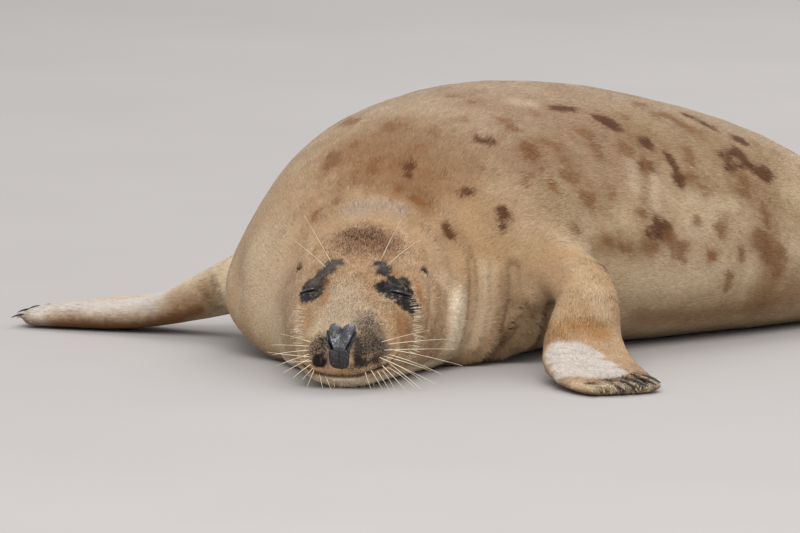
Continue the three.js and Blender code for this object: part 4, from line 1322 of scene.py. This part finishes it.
def nose_colour(shell, u, z, fine):
    """Grey above, dappled with pale patches that are painted highlights; black and moist below with
    painted glints, in the nostrils and round the rim.
    """
    def patches(size, seed, low, high):
        return smooth(layered(fine, size, 2, seed).reshape(u.shape), low, high)

    upper = smooth(z + 0.0035 * layered(fine, 0.005, 2, 43).reshape(u.shape), 0.042, 0.058)
    grey, black = srgb(58, 59, 66), srgb(13, 11, 12)
    colour = black * np.ones((*u.shape, 3))
    colour = mix(colour, grey, upper * (0.70 + 0.30 * bell(np.abs(u) - 0.008, 0.006)))
    colour = mix(colour, black, 0.75 * patches(0.0040, 44, 0.1, 0.7))
    # Painted highlights: pale bluish patches on the upper lobes.
    colour = mix(colour, srgb(150, 151, 166), 0.65 * upper * patches(0.0045, 45, 0.15, 0.8))
    # Painted glints: pale specks on the black lower part.
    colour = mix(colour, srgb(150, 148, 148), 0.45 * (1 - upper) * patches(0.0013, 46, 0.7, 1.0))
    for side in (1, -1):
        nostril = bell(flat_distance(u * side, z, NOSTRIL), 0.0017)
        colour = mix(colour, srgb(10, 8, 8), 0.97 * nostril)
    colour = mix(colour, black, 0.7 * smooth(shell.share, 0.86, 0.98))
    colour = mix(colour, black, 0.45 * bell(u, 0.0016))
    return np.vstack([colour.reshape(-1, 3), black, black])


def nose_pad():
    """The bare nose, laid on the front of the muzzle."""
    left, back = ways(0.0)
    shell = Shell(world(0.0, 0.0, NOSE["middle"]), left, -back, nose_reach, 46, 168)
    places = shell, shell.x, NOSE["middle"] + shell.y, shell.base.reshape(-1, 3)
    nose = shell.build("nose_pad", nose_relief(*places), NOSE["proud"] - 0.0007, NOSE["thick"])
    paint(nose.data, "Coat", nose_colour(*places))
    nose.data.materials.append(nose_material())
    return nose


EYE = {"turn": 24, "tilt": -4, "half": 0.0150, "wide": 0.0225, "high": 0.0130}
LID = {
    "slit_depth": 0.0030, "slit": 0.0008, "dome": 0.0011, "margin": 0.0009, "sag": 0.0014,
    "thick": 0.004,
}
EYELIDS = {1: "eyelids_left", -1: "eyelids_right"}
# Creases: how far above the slit, how deep and how wide.
LID_CREASES = [(0.0046, 0.0009, 0.0007), (0.0068, 0.0008, 0.0008), (-0.0050, 0.0008, 0.0008)]
# Pale lines, partly pale wrinkles and partly painted wet highlights: how far below the slit, how wide,
# and the noise that breaks them up.
LID_HIGHLIGHTS = [
    (0.0033, 0.0007, 51, 0, 0.4),
    (-0.0031, 0.0006, 52, 0.1, 0.5),
    (0.0060, 0.0007, 53, 0.1, 0.5),
]


def lid_shell(side):
    """The round of skin over one eye, and where its middle is and looks."""
    low, high = (np.array(corner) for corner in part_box(EYELIDS[side]))
    head_left, head_back = ways(0.084)
    turn, tilt = math.radians(EYE["turn"]), math.radians(EYE["tilt"])
    upward = np.array([0, 0, math.sin(tilt)])
    away = side * head_left * math.cos(turn) + head_back * math.sin(turn) + upward
    near_eye = Vector((low + high) / 2 + 0.01 * (side * head_left))
    spot = np.array(skin.bvh.find_nearest(near_eye)[0])
    close = np.flatnonzero(((skin.points - spot) ** 2).sum(1) < 0.014**2)
    out = unit(skin.normals[close].mean(0))
    wide, tall = EYE["wide"], EYE["high"]

    def reach_of(angle):
        return wide * tall / np.hypot(tall * np.cos(angle), wide * np.sin(angle))

    return Shell(spot, away, out, reach_of, 44, 132), spot, out


def eyelids(side):
    """The lids of one closed eye, with the slit between them and the creases round it."""
    shell, spot, out = lid_shell(side)
    x, y, share = shell.x, shell.y, shell.share
    along_slit = np.clip(x / EYE["half"], -1.2, 1.2)
    slit = y + LID["sag"] * (1 - along_slit**2)
    inside = 1 - smooth(np.abs(along_slit), 0.82, 1.04)
    margins = bell(slit - 0.0017, 0.0011) + 0.8 * bell(slit + 0.0019, 0.0012)
    relief = 0.0002 + LID["dome"] * bell(share, 0.6) - 0.0016 * smooth(share, 0.86, 1.0)
    relief += LID["margin"] * inside * margins
    relief -= LID["slit_depth"] * inside * bell(slit, LID["slit"])
    for off, depth, width in LID_CREASES:
        bowed = y - off * (1 - 0.35 * along_slit**2)
        relief -= depth * bell(bowed, width) * (1 - smooth(np.abs(x), 0.010, 0.018))
    lids = shell.build(EYELIDS[side], relief, 0.0, LID["thick"])
    lids.data.materials.append(LID_SKIN)
    flat = np.append(slit.ravel(), [0.01, 0.01])
    within = np.append(inside.ravel(), [0, 0])
    paint_lids(lids.data, flat, within)
    rim = smooth(np.append(share.ravel(), [0, 1]), 0.86, 0.93)
    bare = np.clip(within * bell(flat, 0.0030) * 1.6 + rim, 0, 1)
    return lids, bare, spot, out


def paint_lids(mesh, flat, within):
    """The coat's markings, black along the slit, with pale broken lines beside it that are partly
    painted wet highlights.
    """
    points = read_points(mesh)
    colour, _, wet, _ = markings(Place(points, np.zeros((len(points), len(LIMBS)))))
    edge = within * bell(flat, 0.0034)
    colour = mix(colour, srgb(44, 40, 42), 0.85 * edge)
    # Pale lines beside the slit, partly wrinkles and partly painted wet highlights.
    pale = 0
    for off, width, seed, low, high in LID_HIGHLIGHTS:
        pale = pale + within * bell(flat + off, width) * smooth(noise(points, 0.004, seed), low, high)
    colour = mix(colour, srgb(176, 168, 156), 0.75 * np.clip(pale, 0, 1))
    colour = mix(colour, srgb(10, 9, 9), within * bell(flat, 0.0017))
    paint(mesh, "Coat", colour)
    paint(mesh, "State", np.column_stack([0 * wet, np.maximum(wet, edge), 0 * wet]))


# ------------------------------------------------------------------ claws and whiskers

def tube(line, radii, sides, flatten=1.0):
    """Rings round a line, closed at both ends, as points and triangles."""
    way = unit(np.gradient(line, axis=0))
    across = unit(np.cross(way, [0, 0, 1.0]) + 1e-6)
    upward = np.cross(across, way)
    angle = np.linspace(0, 2 * math.pi, sides, endpoint=False)
    ring = across[:, None] * np.cos(angle)[:, None] * flatten
    ring = ring + upward[:, None] * np.sin(angle)[:, None]
    points = line[:, None] + ring * np.asarray(radii)[:, None, None]
    points = np.vstack([points.reshape(-1, 3), line[0], line[-1]])
    return points, ring_faces(len(line), sides)[:, ::-1]


CLAW = {"sunk": 0.004, "arch": 0.10, "flatten": 0.72, "girth": 0.80, "rings": 14, "sides": 14}
# The near paw's claws lean towards its outer edge and gather there; the far flipper's are small.
PLAIN_CLAWS = {"lean": 0.0, "spread": 1.0, "size": 1.0}
CLAWS_OF = {
    "foreflipper_left": {"lean": 0.75, "spread": 0.70, "size": 1.0},
    "foreflipper_right": {"lean": 0.0, "spread": 1.0, "size": 0.52},
}


def claw(name, limb):
    """A curved, pointed claw in the place of the CAD's."""
    points = read_points(frame["nodes"][name].data)
    middle = points.mean(0)
    axis = np.linalg.svd(points - middle)[2][0]
    if axis @ limb.way[-1] < 0:
        axis = -axis
    reach = (points - middle) @ axis
    root = points[reach < reach.min() + 0.002].mean(0)
    tip = points[reach > reach.max() - 0.002].mean(0)
    thick = np.ptp(points[:, 2][reach < reach.min() + 0.3 * np.ptp(reach)]) / 2
    kind = CLAWS_OF.get(limb.node, PLAIN_CLAWS)
    length = np.linalg.norm(tip - root) * kind["size"]
    axis = unit(unit(tip - root) + CAMERA_AXES[:, 0] * kind["lean"])
    outermost = read_points(frame["nodes"][name[:-1] + "5"].data).mean(0)
    root += (outermost - middle) * (1 - kind["spread"])
    tip = root + axis * length
    thick *= CLAW["girth"] * kind["size"]
    rings, sides = CLAW["rings"], CLAW["sides"]
    t = np.linspace(0, 1, rings)
    line = root - axis * CLAW["sunk"] + (tip - root + axis * CLAW["sunk"]) * t[:, None]
    line[:, 2] += length * CLAW["arch"] * np.sin(math.pi * t**0.8)
    radii = thick * (1 - t**1.9) ** 0.75 + 0.00012
    line[:, 2] = np.maximum(line[:, 2], radii + FLOOR)
    piece = make_mesh(f"claw_{name}", *tube(line, radii, sides, CLAW["flatten"]))
    steps = np.append(np.repeat(t, sides), [0, 1])
    turn = np.append(np.tile(np.linspace(0, 2 * math.pi, sides, endpoint=False), rings), [0, 0])
    place = np.column_stack([steps * 2.2, np.cos(turn) * 3.5, np.sin(turn) * 3.5])
    store_place(piece.data, "ClawPlace", place)
    piece.data.materials.append(CLAW_HORN)
    return piece


# Whiskers: root pixel, tip pixel, length in millimetres.
WHISKERS = [
    ((388, 344), (447, 339), 78), ((390, 349), (463, 366), 92), ((389, 354), (443, 375), 78),
    ((384, 356), (431, 371), 70), ((387, 360), (421, 380), 62), ((388, 362), (421, 389), 66),
    ((385, 365), (415, 388), 58), ((382, 365), (406, 391), 52), ((380, 367), (395, 390), 44),
    ((376, 369), (389, 390), 38), ((371, 370), (383, 390), 34), ((384, 350), (455, 349), 88),
    ((379, 357), (436, 384), 74), ((365, 372), (371, 389), 28), ((381, 342), (430, 330), 60),
    ((309, 346), (270, 345), 62), ((309, 350), (272, 355), 64), ((309, 354), (276, 366), 62),
    ((309, 359), (283, 373), 56), ((311, 364), (293, 378), 48), ((313, 368), (302, 380), 38),
    ((314, 370), (307, 387), 34), ((319, 372), (323, 389), 30), ((310, 357), (267, 352), 66),
    ((311, 342), (281, 334), 50), ((325, 375), (331, 390), 22), ((312, 361), (287, 362), 52),
    ((331, 262), (304, 215), 66), ((326, 267), (295, 241), 52),
    ((380, 262), (401, 220), 60), ((386, 266), (420, 240), 54),
]
# Short stiff hairs that fringe the cheeks: the line they stand on, their way in pixels, and how many.
FRINGES = [
    ([(409, 300), (414, 315), (415, 331), (412, 346), (407, 356)], (9, 2), 76),
    ([(303, 306), (302, 318), (301, 332), (303, 343)], (-7, 2), 54),
    ([(330, 383), (350, 385), (372, 382)], (0, 6), 26),
]
WHISKER = {"root": 0.00043, "tip": 0.00012, "rings": 12, "sides": 6}
NEARER = 0.40  # a whisker comes towards the viewer by at most this share of its width in the picture
HAIR_BEND = {"at": 0.45, "rise": 0.10, "sunk": 0.0012, "lowest": 0.0012}
FRINGE = {
    "root": 0.00017, "tip": 0.00006, "rings": 6, "sides": 4, "length": 0.0110, "scatter": 0.0026,
}


def hair_tip(root, pixel, length):
    """Where a hair of this length meets the pixel's ray, on the near side."""
    way = pixel_way(*pixel)
    off = root - EYE_POINT
    depth = off @ way
    side = np.linalg.norm(off - way * depth)
    depth -= min(math.sqrt(max(length**2 - side**2, 0)), NEARER * side)
    return EYE_POINT + way * depth


def hair(root, normal, tip, size):
    """A bent, tapering hair that leaves the skin along its normal."""
    t = np.linspace(0, 1, size["rings"])[:, None]
    length = np.linalg.norm(tip - root)
    bend = root + (tip - root) * HAIR_BEND["at"] + normal * length * HAIR_BEND["rise"]
    start = root - normal * HAIR_BEND["sunk"]
    line = (1 - t) ** 2 * start + 2 * t * (1 - t) * bend + t * t * tip
    radii = size["root"] + (size["tip"] - size["root"]) * t[:, 0]
    line[:, 2] = np.maximum(line[:, 2], HAIR_BEND["lowest"])
    return tube(line, radii, size["sides"])


def fringe(pixels, aside, count):
    """Hairs that stand unevenly along a line of the cheek or the chin."""
    line = skin.trace(*pixels)
    keys = np.linspace(0, 1, len(line))
    hairs = []
    for k in range(count):
        t = (k + random.uniform(0, 1)) / count
        at = np.array([np.interp(t, keys, line[:, axis]) for axis in range(3)])
        at += random.normal(0, FRINGE["scatter"], 3)
        root, normal, _, _ = skin.bvh.find_nearest(Vector(at))
        root, normal = np.array(root), np.array(normal)
        away = unit(aside + 0.45 * normal + random.normal(0, 0.12, 3))
        length = FRINGE["length"] * random.uniform(0.6, 1.1)
        hairs.append(hair(root, normal, root + away * length, FRINGE))
    return hairs


def whiskers():
    """All the whiskers and fringes as one piece."""
    hairs = []
    for start, end, length in WHISKERS:
        root, normal = skin.cast(*start)
        hairs.append(hair(root, normal, hair_tip(root, end, length / 1000), WHISKER))
    for pixels, (dx, dy), count in FRINGES:
        aside = CAMERA_AXES @ np.array([dx, -dy, 0.0]) / math.hypot(dx, dy)
        hairs += fringe(pixels, aside, count)
    starts = np.cumsum([0] + [len(points) for points, _ in hairs])
    faces = [faces + start for (_, faces), start in zip(hairs, starts)]
    obj = make_mesh("whiskers", np.vstack([points for points, _ in hairs]), np.vstack(faces))
    obj.data.materials.append(whisker_material())
    return obj


# ------------------------------------------------------------------ the coat

# Length of a tuft and tufts to the square metre, by distance back.
FUR_LENGTH = np.array([
    (0, 0.0028), (0.06, 0.0036), (0.12, 0.0048), (0.2, 0.0070), (0.3, 0.0088), (1.3, 0.0095),
])
FUR_COUNT = np.array([
    (0, 1.15e6), (0.08, 0.95e6), (0.13, 0.5e6), (0.2, 0.24e6), (0.3, 0.135e6), (1.3, 0.115e6),
])
HAND = {"length": 0.0052, "count": 0.30e6}
# Shares of a tuft's length, then its depth in the skin and least width, how far its light is turned,
# and the shade of its five points from root to tip.
TUFT = {
    "wide": 0.125, "ridge": 0.022, "lift": 0.060, "sunk": 0.0004, "least_wide": 0.00038,
    "turned": 0.34, "shade": (0.74, 0.95, 0.95, 1.0, 1.10),
}
# The coat's pieces: name, and where on the body each starts and ends.
PIECES = [
    ("coat_face_front", -0.1, 0.052), ("coat_face_rear", 0.052, 0.105), ("coat_crown", 0.105, 0.2),
    ("coat_neck", 0.2, 0.31), ("coat_chest", 0.31, 0.46), ("coat_back", 0.46, 0.62),
    ("coat_belly", 0.62, 0.82), ("coat_rump", 0.82, 1.4),
]
BAKE_PATCH = 0.003


class Ground:
    """The surface that the coat grows on: points, triangles, normals, limbs and bareness."""

    def __init__(self):
        self.points = np.empty((0, 3))
        self.triangles = np.empty((0, 3), int)
        self.normals = np.empty((0, 3))
        self.limbs = np.empty((0, len(LIMBS)))
        self.bare = np.empty(0)

    def add(self, points, triangles, normals, limbs, bare):
        self.triangles = np.vstack([self.triangles, triangles + len(self.points)])
        self.points = np.vstack([self.points, points])
        self.normals = np.vstack([self.normals, normals])
        self.limbs = np.vstack([self.limbs, limbs])
        self.bare = np.append(self.bare, bare)


def lie_of(points, body, limbs):
    """Which way the fur lies: out from the muzzle, then back along the body, and out along a limb."""
    s, u = body[:, 0], body[:, 1]
    _, back = ways(s)
    core = world(*MUZZLE_CORE)
    lie = mix(unit(points - core), back, smooth(s, 0.10, 0.22))
    lie[:, 2] -= 0.30 * smooth(s, 0.2, 0.35) * smooth(np.abs(u), 0.06, 0.16)
    for k, limb in enumerate(LIMBS):
        share = smooth(limbs[:, k], 0.15, 0.85)
        part = np.flatnonzero(share > 0)
        lie[part] = mix(lie[part], limb.way[limb.nearest(points[part])], share[part])
    return unit(lie)


def fur_size(body, limbs):
    """Length of the fur and tufts to the square metre at each point."""
    s = body[:, 0]
    length = np.interp(s, FUR_LENGTH[:, 0], FUR_LENGTH[:, 1])
    count = np.exp(np.interp(s, FUR_COUNT[:, 0], np.log(FUR_COUNT[:, 1])))
    hand = smooth(limbs.max(1), 0.3, 0.9) * (1 - smooth(body[:, 2], 0.03, 0.07))
    length = mix(length, HAND["length"], hand)
    count = mix(count, HAND["count"], hand)
    return length, count


def scatter(ground):
    """Where the tufts stand: a triangle's corners and the place in it for each."""
    points, triangles = ground.points, ground.triangles
    a, b, c = (points[triangles[:, k]] for k in range(3))
    area = np.linalg.norm(np.cross(b - a, c - a), axis=1) / 2
    middle = (a + b + c) / 3
    bare = ground.bare[triangles].mean(1)
    _, count = fur_size(to_body(middle), ground.limbs[triangles].mean(1))
    downward = ground.normals[triangles].mean(1)[:, 2] < -0.5
    hidden = (middle[:, 2] < FLOOR + 0.0016) & downward
    wanted = np.cumsum(area * count * (1 - np.clip(bare, 0, 1)) * ~hidden)
    marks = np.arange(int(wanted[-1])) + random.uniform(0, 1, int(wanted[-1]))
    chosen = np.minimum(np.searchsorted(wanted, marks), len(triangles) - 1)
    r1, r2 = np.sqrt(random.uniform(0, 1, len(chosen))), random.uniform(0, 1, len(chosen))
    return triangles[chosen], np.column_stack([1 - r1, r1 * (1 - r2), r1 * r2])


def unwrap(body, points, limbs):
    """A flat place for each point: along and round the body, or along and round a limb."""
    s, u, z = body.T
    round_body = (np.arctan2(z - 0.06, u) / (2 * math.pi) + 0.75) % 1
    place = np.column_stack([s, round_body])
    for k, limb in enumerate(LIMBS):
        part = np.flatnonzero(limbs[:, k] > 0.5)
        t, across, above = limb.place(points[part])
        round_limb = np.arctan2(above, across) / (2 * math.pi) + 0.5
        place[part] = np.column_stack([t, 0.5 * (k % 2) + 0.02 + 0.46 * round_limb])
    return place


def fitted(values, low=0.01, high=0.99):
    """The values moved and scaled to lie from low to high."""
    return low + (high - low) * (values - values.min()) / max(np.ptp(values), 1e-9)


class Tufts:
    """The places where tufts stand, and what is known there."""

    def __init__(self, ground):
        corners, share = scatter(ground)

        def at(values):
            return (values[corners] * share[..., None]).sum(1)

        self.root = at(ground.points)
        self.normal = unit(at(ground.normals))
        self.limbs = at(ground.limbs)
        self.count = len(self.root)
        self.body = to_body(self.root)
        self.length, _ = fur_size(self.body, self.limbs)
        self.way = lie_of(self.root, self.body, self.limbs)
        shown = self.root + self.way * (self.length * 0.5)[:, None]
        place = Place(shown + random.normal(0, 0.0006, (self.count, 3)), self.limbs)
        self.colour, self.specks, self.wet, self.sand = markings(place)
        self.face = 1 - smooth(self.body[:, 0], 0.1, 0.2)
        # Dark damp fur that clumps, in creases where its dark colour is partly painted shade.
        self.damp = np.zeros(self.count)
        for name, line, radius, strength, edge in MARKINGS["clouds"]:
            if name == "damp":
                share = strength * place.near(line, radius * 1.25, edge)
                self.damp = np.maximum(self.damp, share)
        limb = smooth(self.limbs.max(1), 0.5, 0.9)
        self.digits = limb * (1 - smooth(near_claws(self.root), 0.010, 0.030))

    def blades(self):
        """Five points of each tuft, and its light: that of the skin, a little turned."""
        root, normal, count, damp, digits = self.root, self.normal, self.count, self.damp, self.digits
        turn = 0.22 * noise(root, 0.03, 61) + 0.14 * noise(root, 0.009, 62)
        turn = (turn + random.normal(0, 0.09, count)) * (1 + 1.5 * damp + 2.0 * digits)
        way = unit(self.way - normal * (self.way * normal).sum(1, keepdims=True))
        way = way * np.cos(turn)[:, None] + np.cross(normal, way) * np.sin(turn)[:, None]
        side = np.cross(normal, way)

        length = self.length * random.uniform(0.75, 1.2, count)
        length *= (1 + 0.25 * damp + 0.5 * digits) * (1 - 0.35 * self.sand)
        width = length * TUFT["wide"] * random.uniform(0.75, 1.25, count)
        width = np.maximum(width * (1 + 0.35 * damp + 0.3 * digits), TUFT["least_wide"])
        ridge = length * TUFT["ridge"] + 0.00004
        lift = length * TUFT["lift"] * random.uniform(0.5, 1.6, count)
        lift *= (1 + 1.3 * damp + 1.8 * digits) * (0.30 + 0.65 * self.face + 0.5 * damp)

        middle = root + way * (length * 0.42)[:, None] + normal * (lift * 0.35)[:, None]
        wing = side * (width / 2)[:, None]
        blade = np.stack([
            root - normal * TUFT["sunk"],
            middle + wing,
            middle - wing,
            middle + normal * ridge[:, None],
            root + way * length[:, None] + normal * lift[:, None],
        ], axis=1)
        blade[..., 2] = np.maximum(blade[..., 2], FLOOR)

        turned = TUFT["turned"] * (0.35 + 1.1 * self.face + damp)[:, None]
        lights = [-0.5 * turned * way, turned * side, -turned * side, 0 * side, 0.6 * turned * way]
        return blade, unit(normal[:, None] + np.stack(lights, axis=1))

    def colours(self):
        """Of the five points: darker at the root and paler at the tip, and some locks dark or pale."""
        fine = 1 - 0.65 * smooth(self.body[:, 0], 0.12, 0.3)
        tone = 1 + (0.10 + 0.24 * self.face) * random.normal(0, 1, self.count)
        pick = random.uniform(0, 1, self.count)
        clump = 0.5 + 0.5 * noise(self.root, 0.0026, 63)
        speckled = pick < self.specks * (0.35 + 0.5 * clump)
        colour = mix(self.colour, COLOURS["speck"], 0.92 * speckled)
        colour = mix(colour, colour * 0.55, (pick > 0.90) * (1 - self.sand) * fine)
        colour = mix(colour, colour * 1.35, (pick < 0.12) * (self.specks < 0.1) * fine)
        colour = colour * np.clip(tone, 0.55, 1.5)[:, None]
        contrast = (0.9 * fine + 0.9 * self.damp)[:, None]
        shade = 1 + (np.array(TUFT["shade"]) - 1) * contrast
        return colour[:, None] * shade[..., None]


def grow_coat(ground):
    """The coat in pieces, by distance back and by limb."""
    tufts = Tufts(ground)
    blade, normals = tufts.blades()
    state = np.column_stack([tufts.specks, tufts.wet, tufts.sand])
    spots = unwrap(tufts.body, tufts.root, tufts.limbs)
    columns = blade, tufts.colours(), state, spots, normals
    s, limbs = tufts.body[:, 0], tufts.limbs
    limb_of = np.where(limbs.max(1) > 0.5, limbs.argmax(1), -1)
    groups = [(name, (limb_of < 0) & (s >= start) & (s < end)) for name, start, end in PIECES]
    groups.append(("coat_foreflippers", (limb_of == 0) | (limb_of == 1)))
    groups.append(("coat_hindflippers", limb_of >= 2))
    material = tuft_material()
    return [tuft_piece(name, *(rows[mask] for rows in columns), material) for name, mask in groups]


BLADE_FACES = np.array([(0, 2, 3), (0, 3, 1), (3, 2, 4), (3, 4, 1), (0, 1, 2), (2, 1, 4)])
BLADE_FLAT = np.array([(0, -0.5), (-0.5, 0), (0.5, 0), (0.04, 0.06), (0, 0.5)]) * BAKE_PATCH


def tuft_piece(name, blade, colours, state, spots, normals, material):
    """One joined mesh of tufts, each a thin closed blade."""
    count = len(blade)
    faces = (BLADE_FACES[None] + 5 * np.arange(count)[:, None, None]).reshape(-1, 3)
    piece = make_mesh(name, blade.reshape(-1, 3), faces)
    paint(piece.data, "Coat", np.clip(colours.reshape(-1, 3), 0.003, 1))
    paint(piece.data, "State", np.repeat(state, 5, axis=0))
    flat = np.column_stack([fitted(spots[:, 0]), fitted(spots[:, 1])])
    corners = flat[:, None] + BLADE_FLAT[None]
    layer = piece.data.uv_layers.new(name="OFBake")
    layer.data.foreach_set("uv", corners.reshape(-1, 2)[faces.ravel()].astype(np.float32).ravel())
    piece.data.normals_split_custom_set_from_vertices(normals.reshape(-1, 3).tolist())
    piece.data.materials.append(material)
    return piece


def near_claws(points):
    """Distance from each point to the nearest root of a claw."""
    best = np.full(len(points), 1.0)
    for root in CLAW_ROOTS:
        best = np.minimum(best, np.linalg.norm(points - root, axis=1))
    return best


# ------------------------------------------------------------------ stage and light

LIGHTS = [("key", (2.3, -2.6, 3.6), 3.2, 150), ("rear", (-1.2, 3.0, 4.2), 3.0, 110)]


def stage():
    """A pale floor, a soft sky and two broad lamps: name, place, size in metres and watts."""
    bpy.ops.mesh.primitive_plane_add(size=60, location=(0, 10, 0))
    floor = bpy.context.object
    floor.name = "floor"
    m = Nodes("pale_floor")
    tone = m.mix(rgba(srgb(178, 174, 172)), rgba(srgb(172, 168, 166)), m.noise(3, 3))
    m.set(Base_Color=tone, Roughness=0.95, Specular_IOR_Level=0.1)
    floor.data.materials.append(m.material)

    world_light = bpy.data.worlds.new("soft_sky")
    world_light.use_nodes = True
    sky = world_light.node_tree.nodes["Background"]
    sky.inputs["Color"].default_value = (0.97, 0.98, 1.0, 1)
    sky.inputs["Strength"].default_value = 0.78
    bpy.context.scene.world = world_light

    for name, place, size, power in LIGHTS:
        light = bpy.data.lights.new(name, "AREA")
        light.size = size
        light.energy = power
        light.color = (1.0, 0.985, 0.96)
        lamp = bpy.data.objects.new(name, light)
        bpy.context.scene.collection.objects.link(lamp)
        lamp.location = place
        lamp.rotation_euler = (Vector((0, 0, 0.1)) - Vector(place)).to_track_quat("-Z", "Y").to_euler()
    bpy.context.scene.view_settings.view_transform = "Standard"


# ------------------------------------------------------------------ the animal dressed

MARKINGS = prepare_markings()
sculpt(skin)
LID_SKIN = lid_material()
CLAW_HORN = claw_material()
ground = Ground()
sunk = np.zeros(len(skin.points))  # how far the skin is drawn in under the nose and the lids
bare = np.zeros(len(skin.points))  # where no tufts grow


def dress_nose():
    nose = nose_pad()
    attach(nose, "root")
    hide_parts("nose")


def dress_eye(side):
    """Lays the lids over the skin, which is drawn in so that the slit shows its depth."""
    lids, lid_bare, spot, out = eyelids(side)
    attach(lids, "root")
    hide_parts(EYELIDS[side])
    away = unit(np.cross(out, [0, 0, 1]))
    off = skin.points - spot
    across, upward = off @ away, off @ np.cross(away, out)
    d = np.hypot(across / EYE["wide"], upward / EYE["high"])
    near = np.abs(off @ out) < 0.02
    sunk[:] += (1 - smooth(d, 0.72, 0.92)) * near * 0.0045
    bare[:] = np.maximum(bare, (d < 0.9) * near)
    shape, faces = read_points(lids.data), triangles_of(lids.data)
    no_limb = np.zeros((len(shape), len(LIMBS)))
    ground.add(shape, faces, normals_of(shape, faces), no_limb, lid_bare)


def bare_places():
    """No tufts grow on the nose, in the ear holes and between the lips."""
    on_nose = nose_share(skin.points)
    sunk[:] += 0.0062 * (1 - smooth(on_nose, 0.80, 0.96))
    bare[:] = np.maximum(bare, on_nose < 0.985)
    for ear in skin.ears():
        bare[:] = np.maximum(bare, bell(np.linalg.norm(skin.points - ear, axis=1), 0.0054))
    lips = bell(above_mouth(*skin.body.T), 0.0024) * (skin.body[:, 0] < MOUTH["corner_s"])
    bare[:] = np.maximum(bare, lips)


def dress_claws():
    """Puts the claws in their places, and says where their roots are."""
    roots = []
    for limb in LIMBS:
        for digit in range(1, 6):
            node = f"{limb.node}_claw_{digit}"
            piece = claw(node, limb)
            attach(piece, "root")
            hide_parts(node)
            roots.append(read_points(piece.data)[: CLAW["sides"]].mean(0))
    return roots


def skin_colour():
    """Markings, with painted shade along the line of the mouth and in the ear holes; and the skin's
    state.
    """
    colour, specks, wet, sand = markings(Place(skin.points, skin.limbs))
    s = skin.body[:, 0]
    # Painted shade in the groove between the lips.
    mouth = bell(above_mouth(*skin.body.T), 0.0016) * (1 - smooth(s, 0.04, MOUTH["corner_s"]))
    colour = mix(colour, srgb(30, 22, 18), 0.95 * mouth)
    # Painted shade in the ear holes.
    for ear in skin.ears():
        hole = bell(np.linalg.norm(skin.points - ear, axis=1), 0.0062)
        colour = mix(colour, srgb(22, 16, 14), hole)
    return colour, np.column_stack([specks, wet, sand])


def fur_place():
    """Places for the grain of the fur, drawn out along its lie."""
    along_lie, across_lie = 90, 420
    place = skin.body * [along_lie, across_lie, across_lie]
    for k, limb in enumerate(LIMBS):
        part = np.flatnonzero(skin.limbs[:, k] > 0.5)
        t, across, _ = limb.place(skin.points[part])
        place[part] = np.column_stack([t * 40, across * across_lie, place[part, 2]])
    return place


def dress_skin():
    piece = bpy.data.objects.new("seal_skin", skin.mesh)
    bpy.context.scene.collection.objects.link(piece)
    colour, state = skin_colour()
    paint(skin.mesh, "Coat", colour)
    paint(skin.mesh, "State", state)
    store_place(skin.mesh, "FurPlace", fur_place())
    write_points(skin.mesh, skin.points - skin.normals * sunk[:, None])
    skin.mesh.shade_smooth()
    skin.mesh.materials.append(skin_material())
    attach(piece, "root")
    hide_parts(*FLESH)


dress_nose()
dress_eye(1)
dress_eye(-1)
bare_places()
ground.add(skin.points, skin.triangles, skin.normals, skin.limbs, bare)
CLAW_ROOTS = dress_claws()
dress_skin()
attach(whiskers(), "root")
for piece in grow_coat(ground):
    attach(piece, "root")
stage()
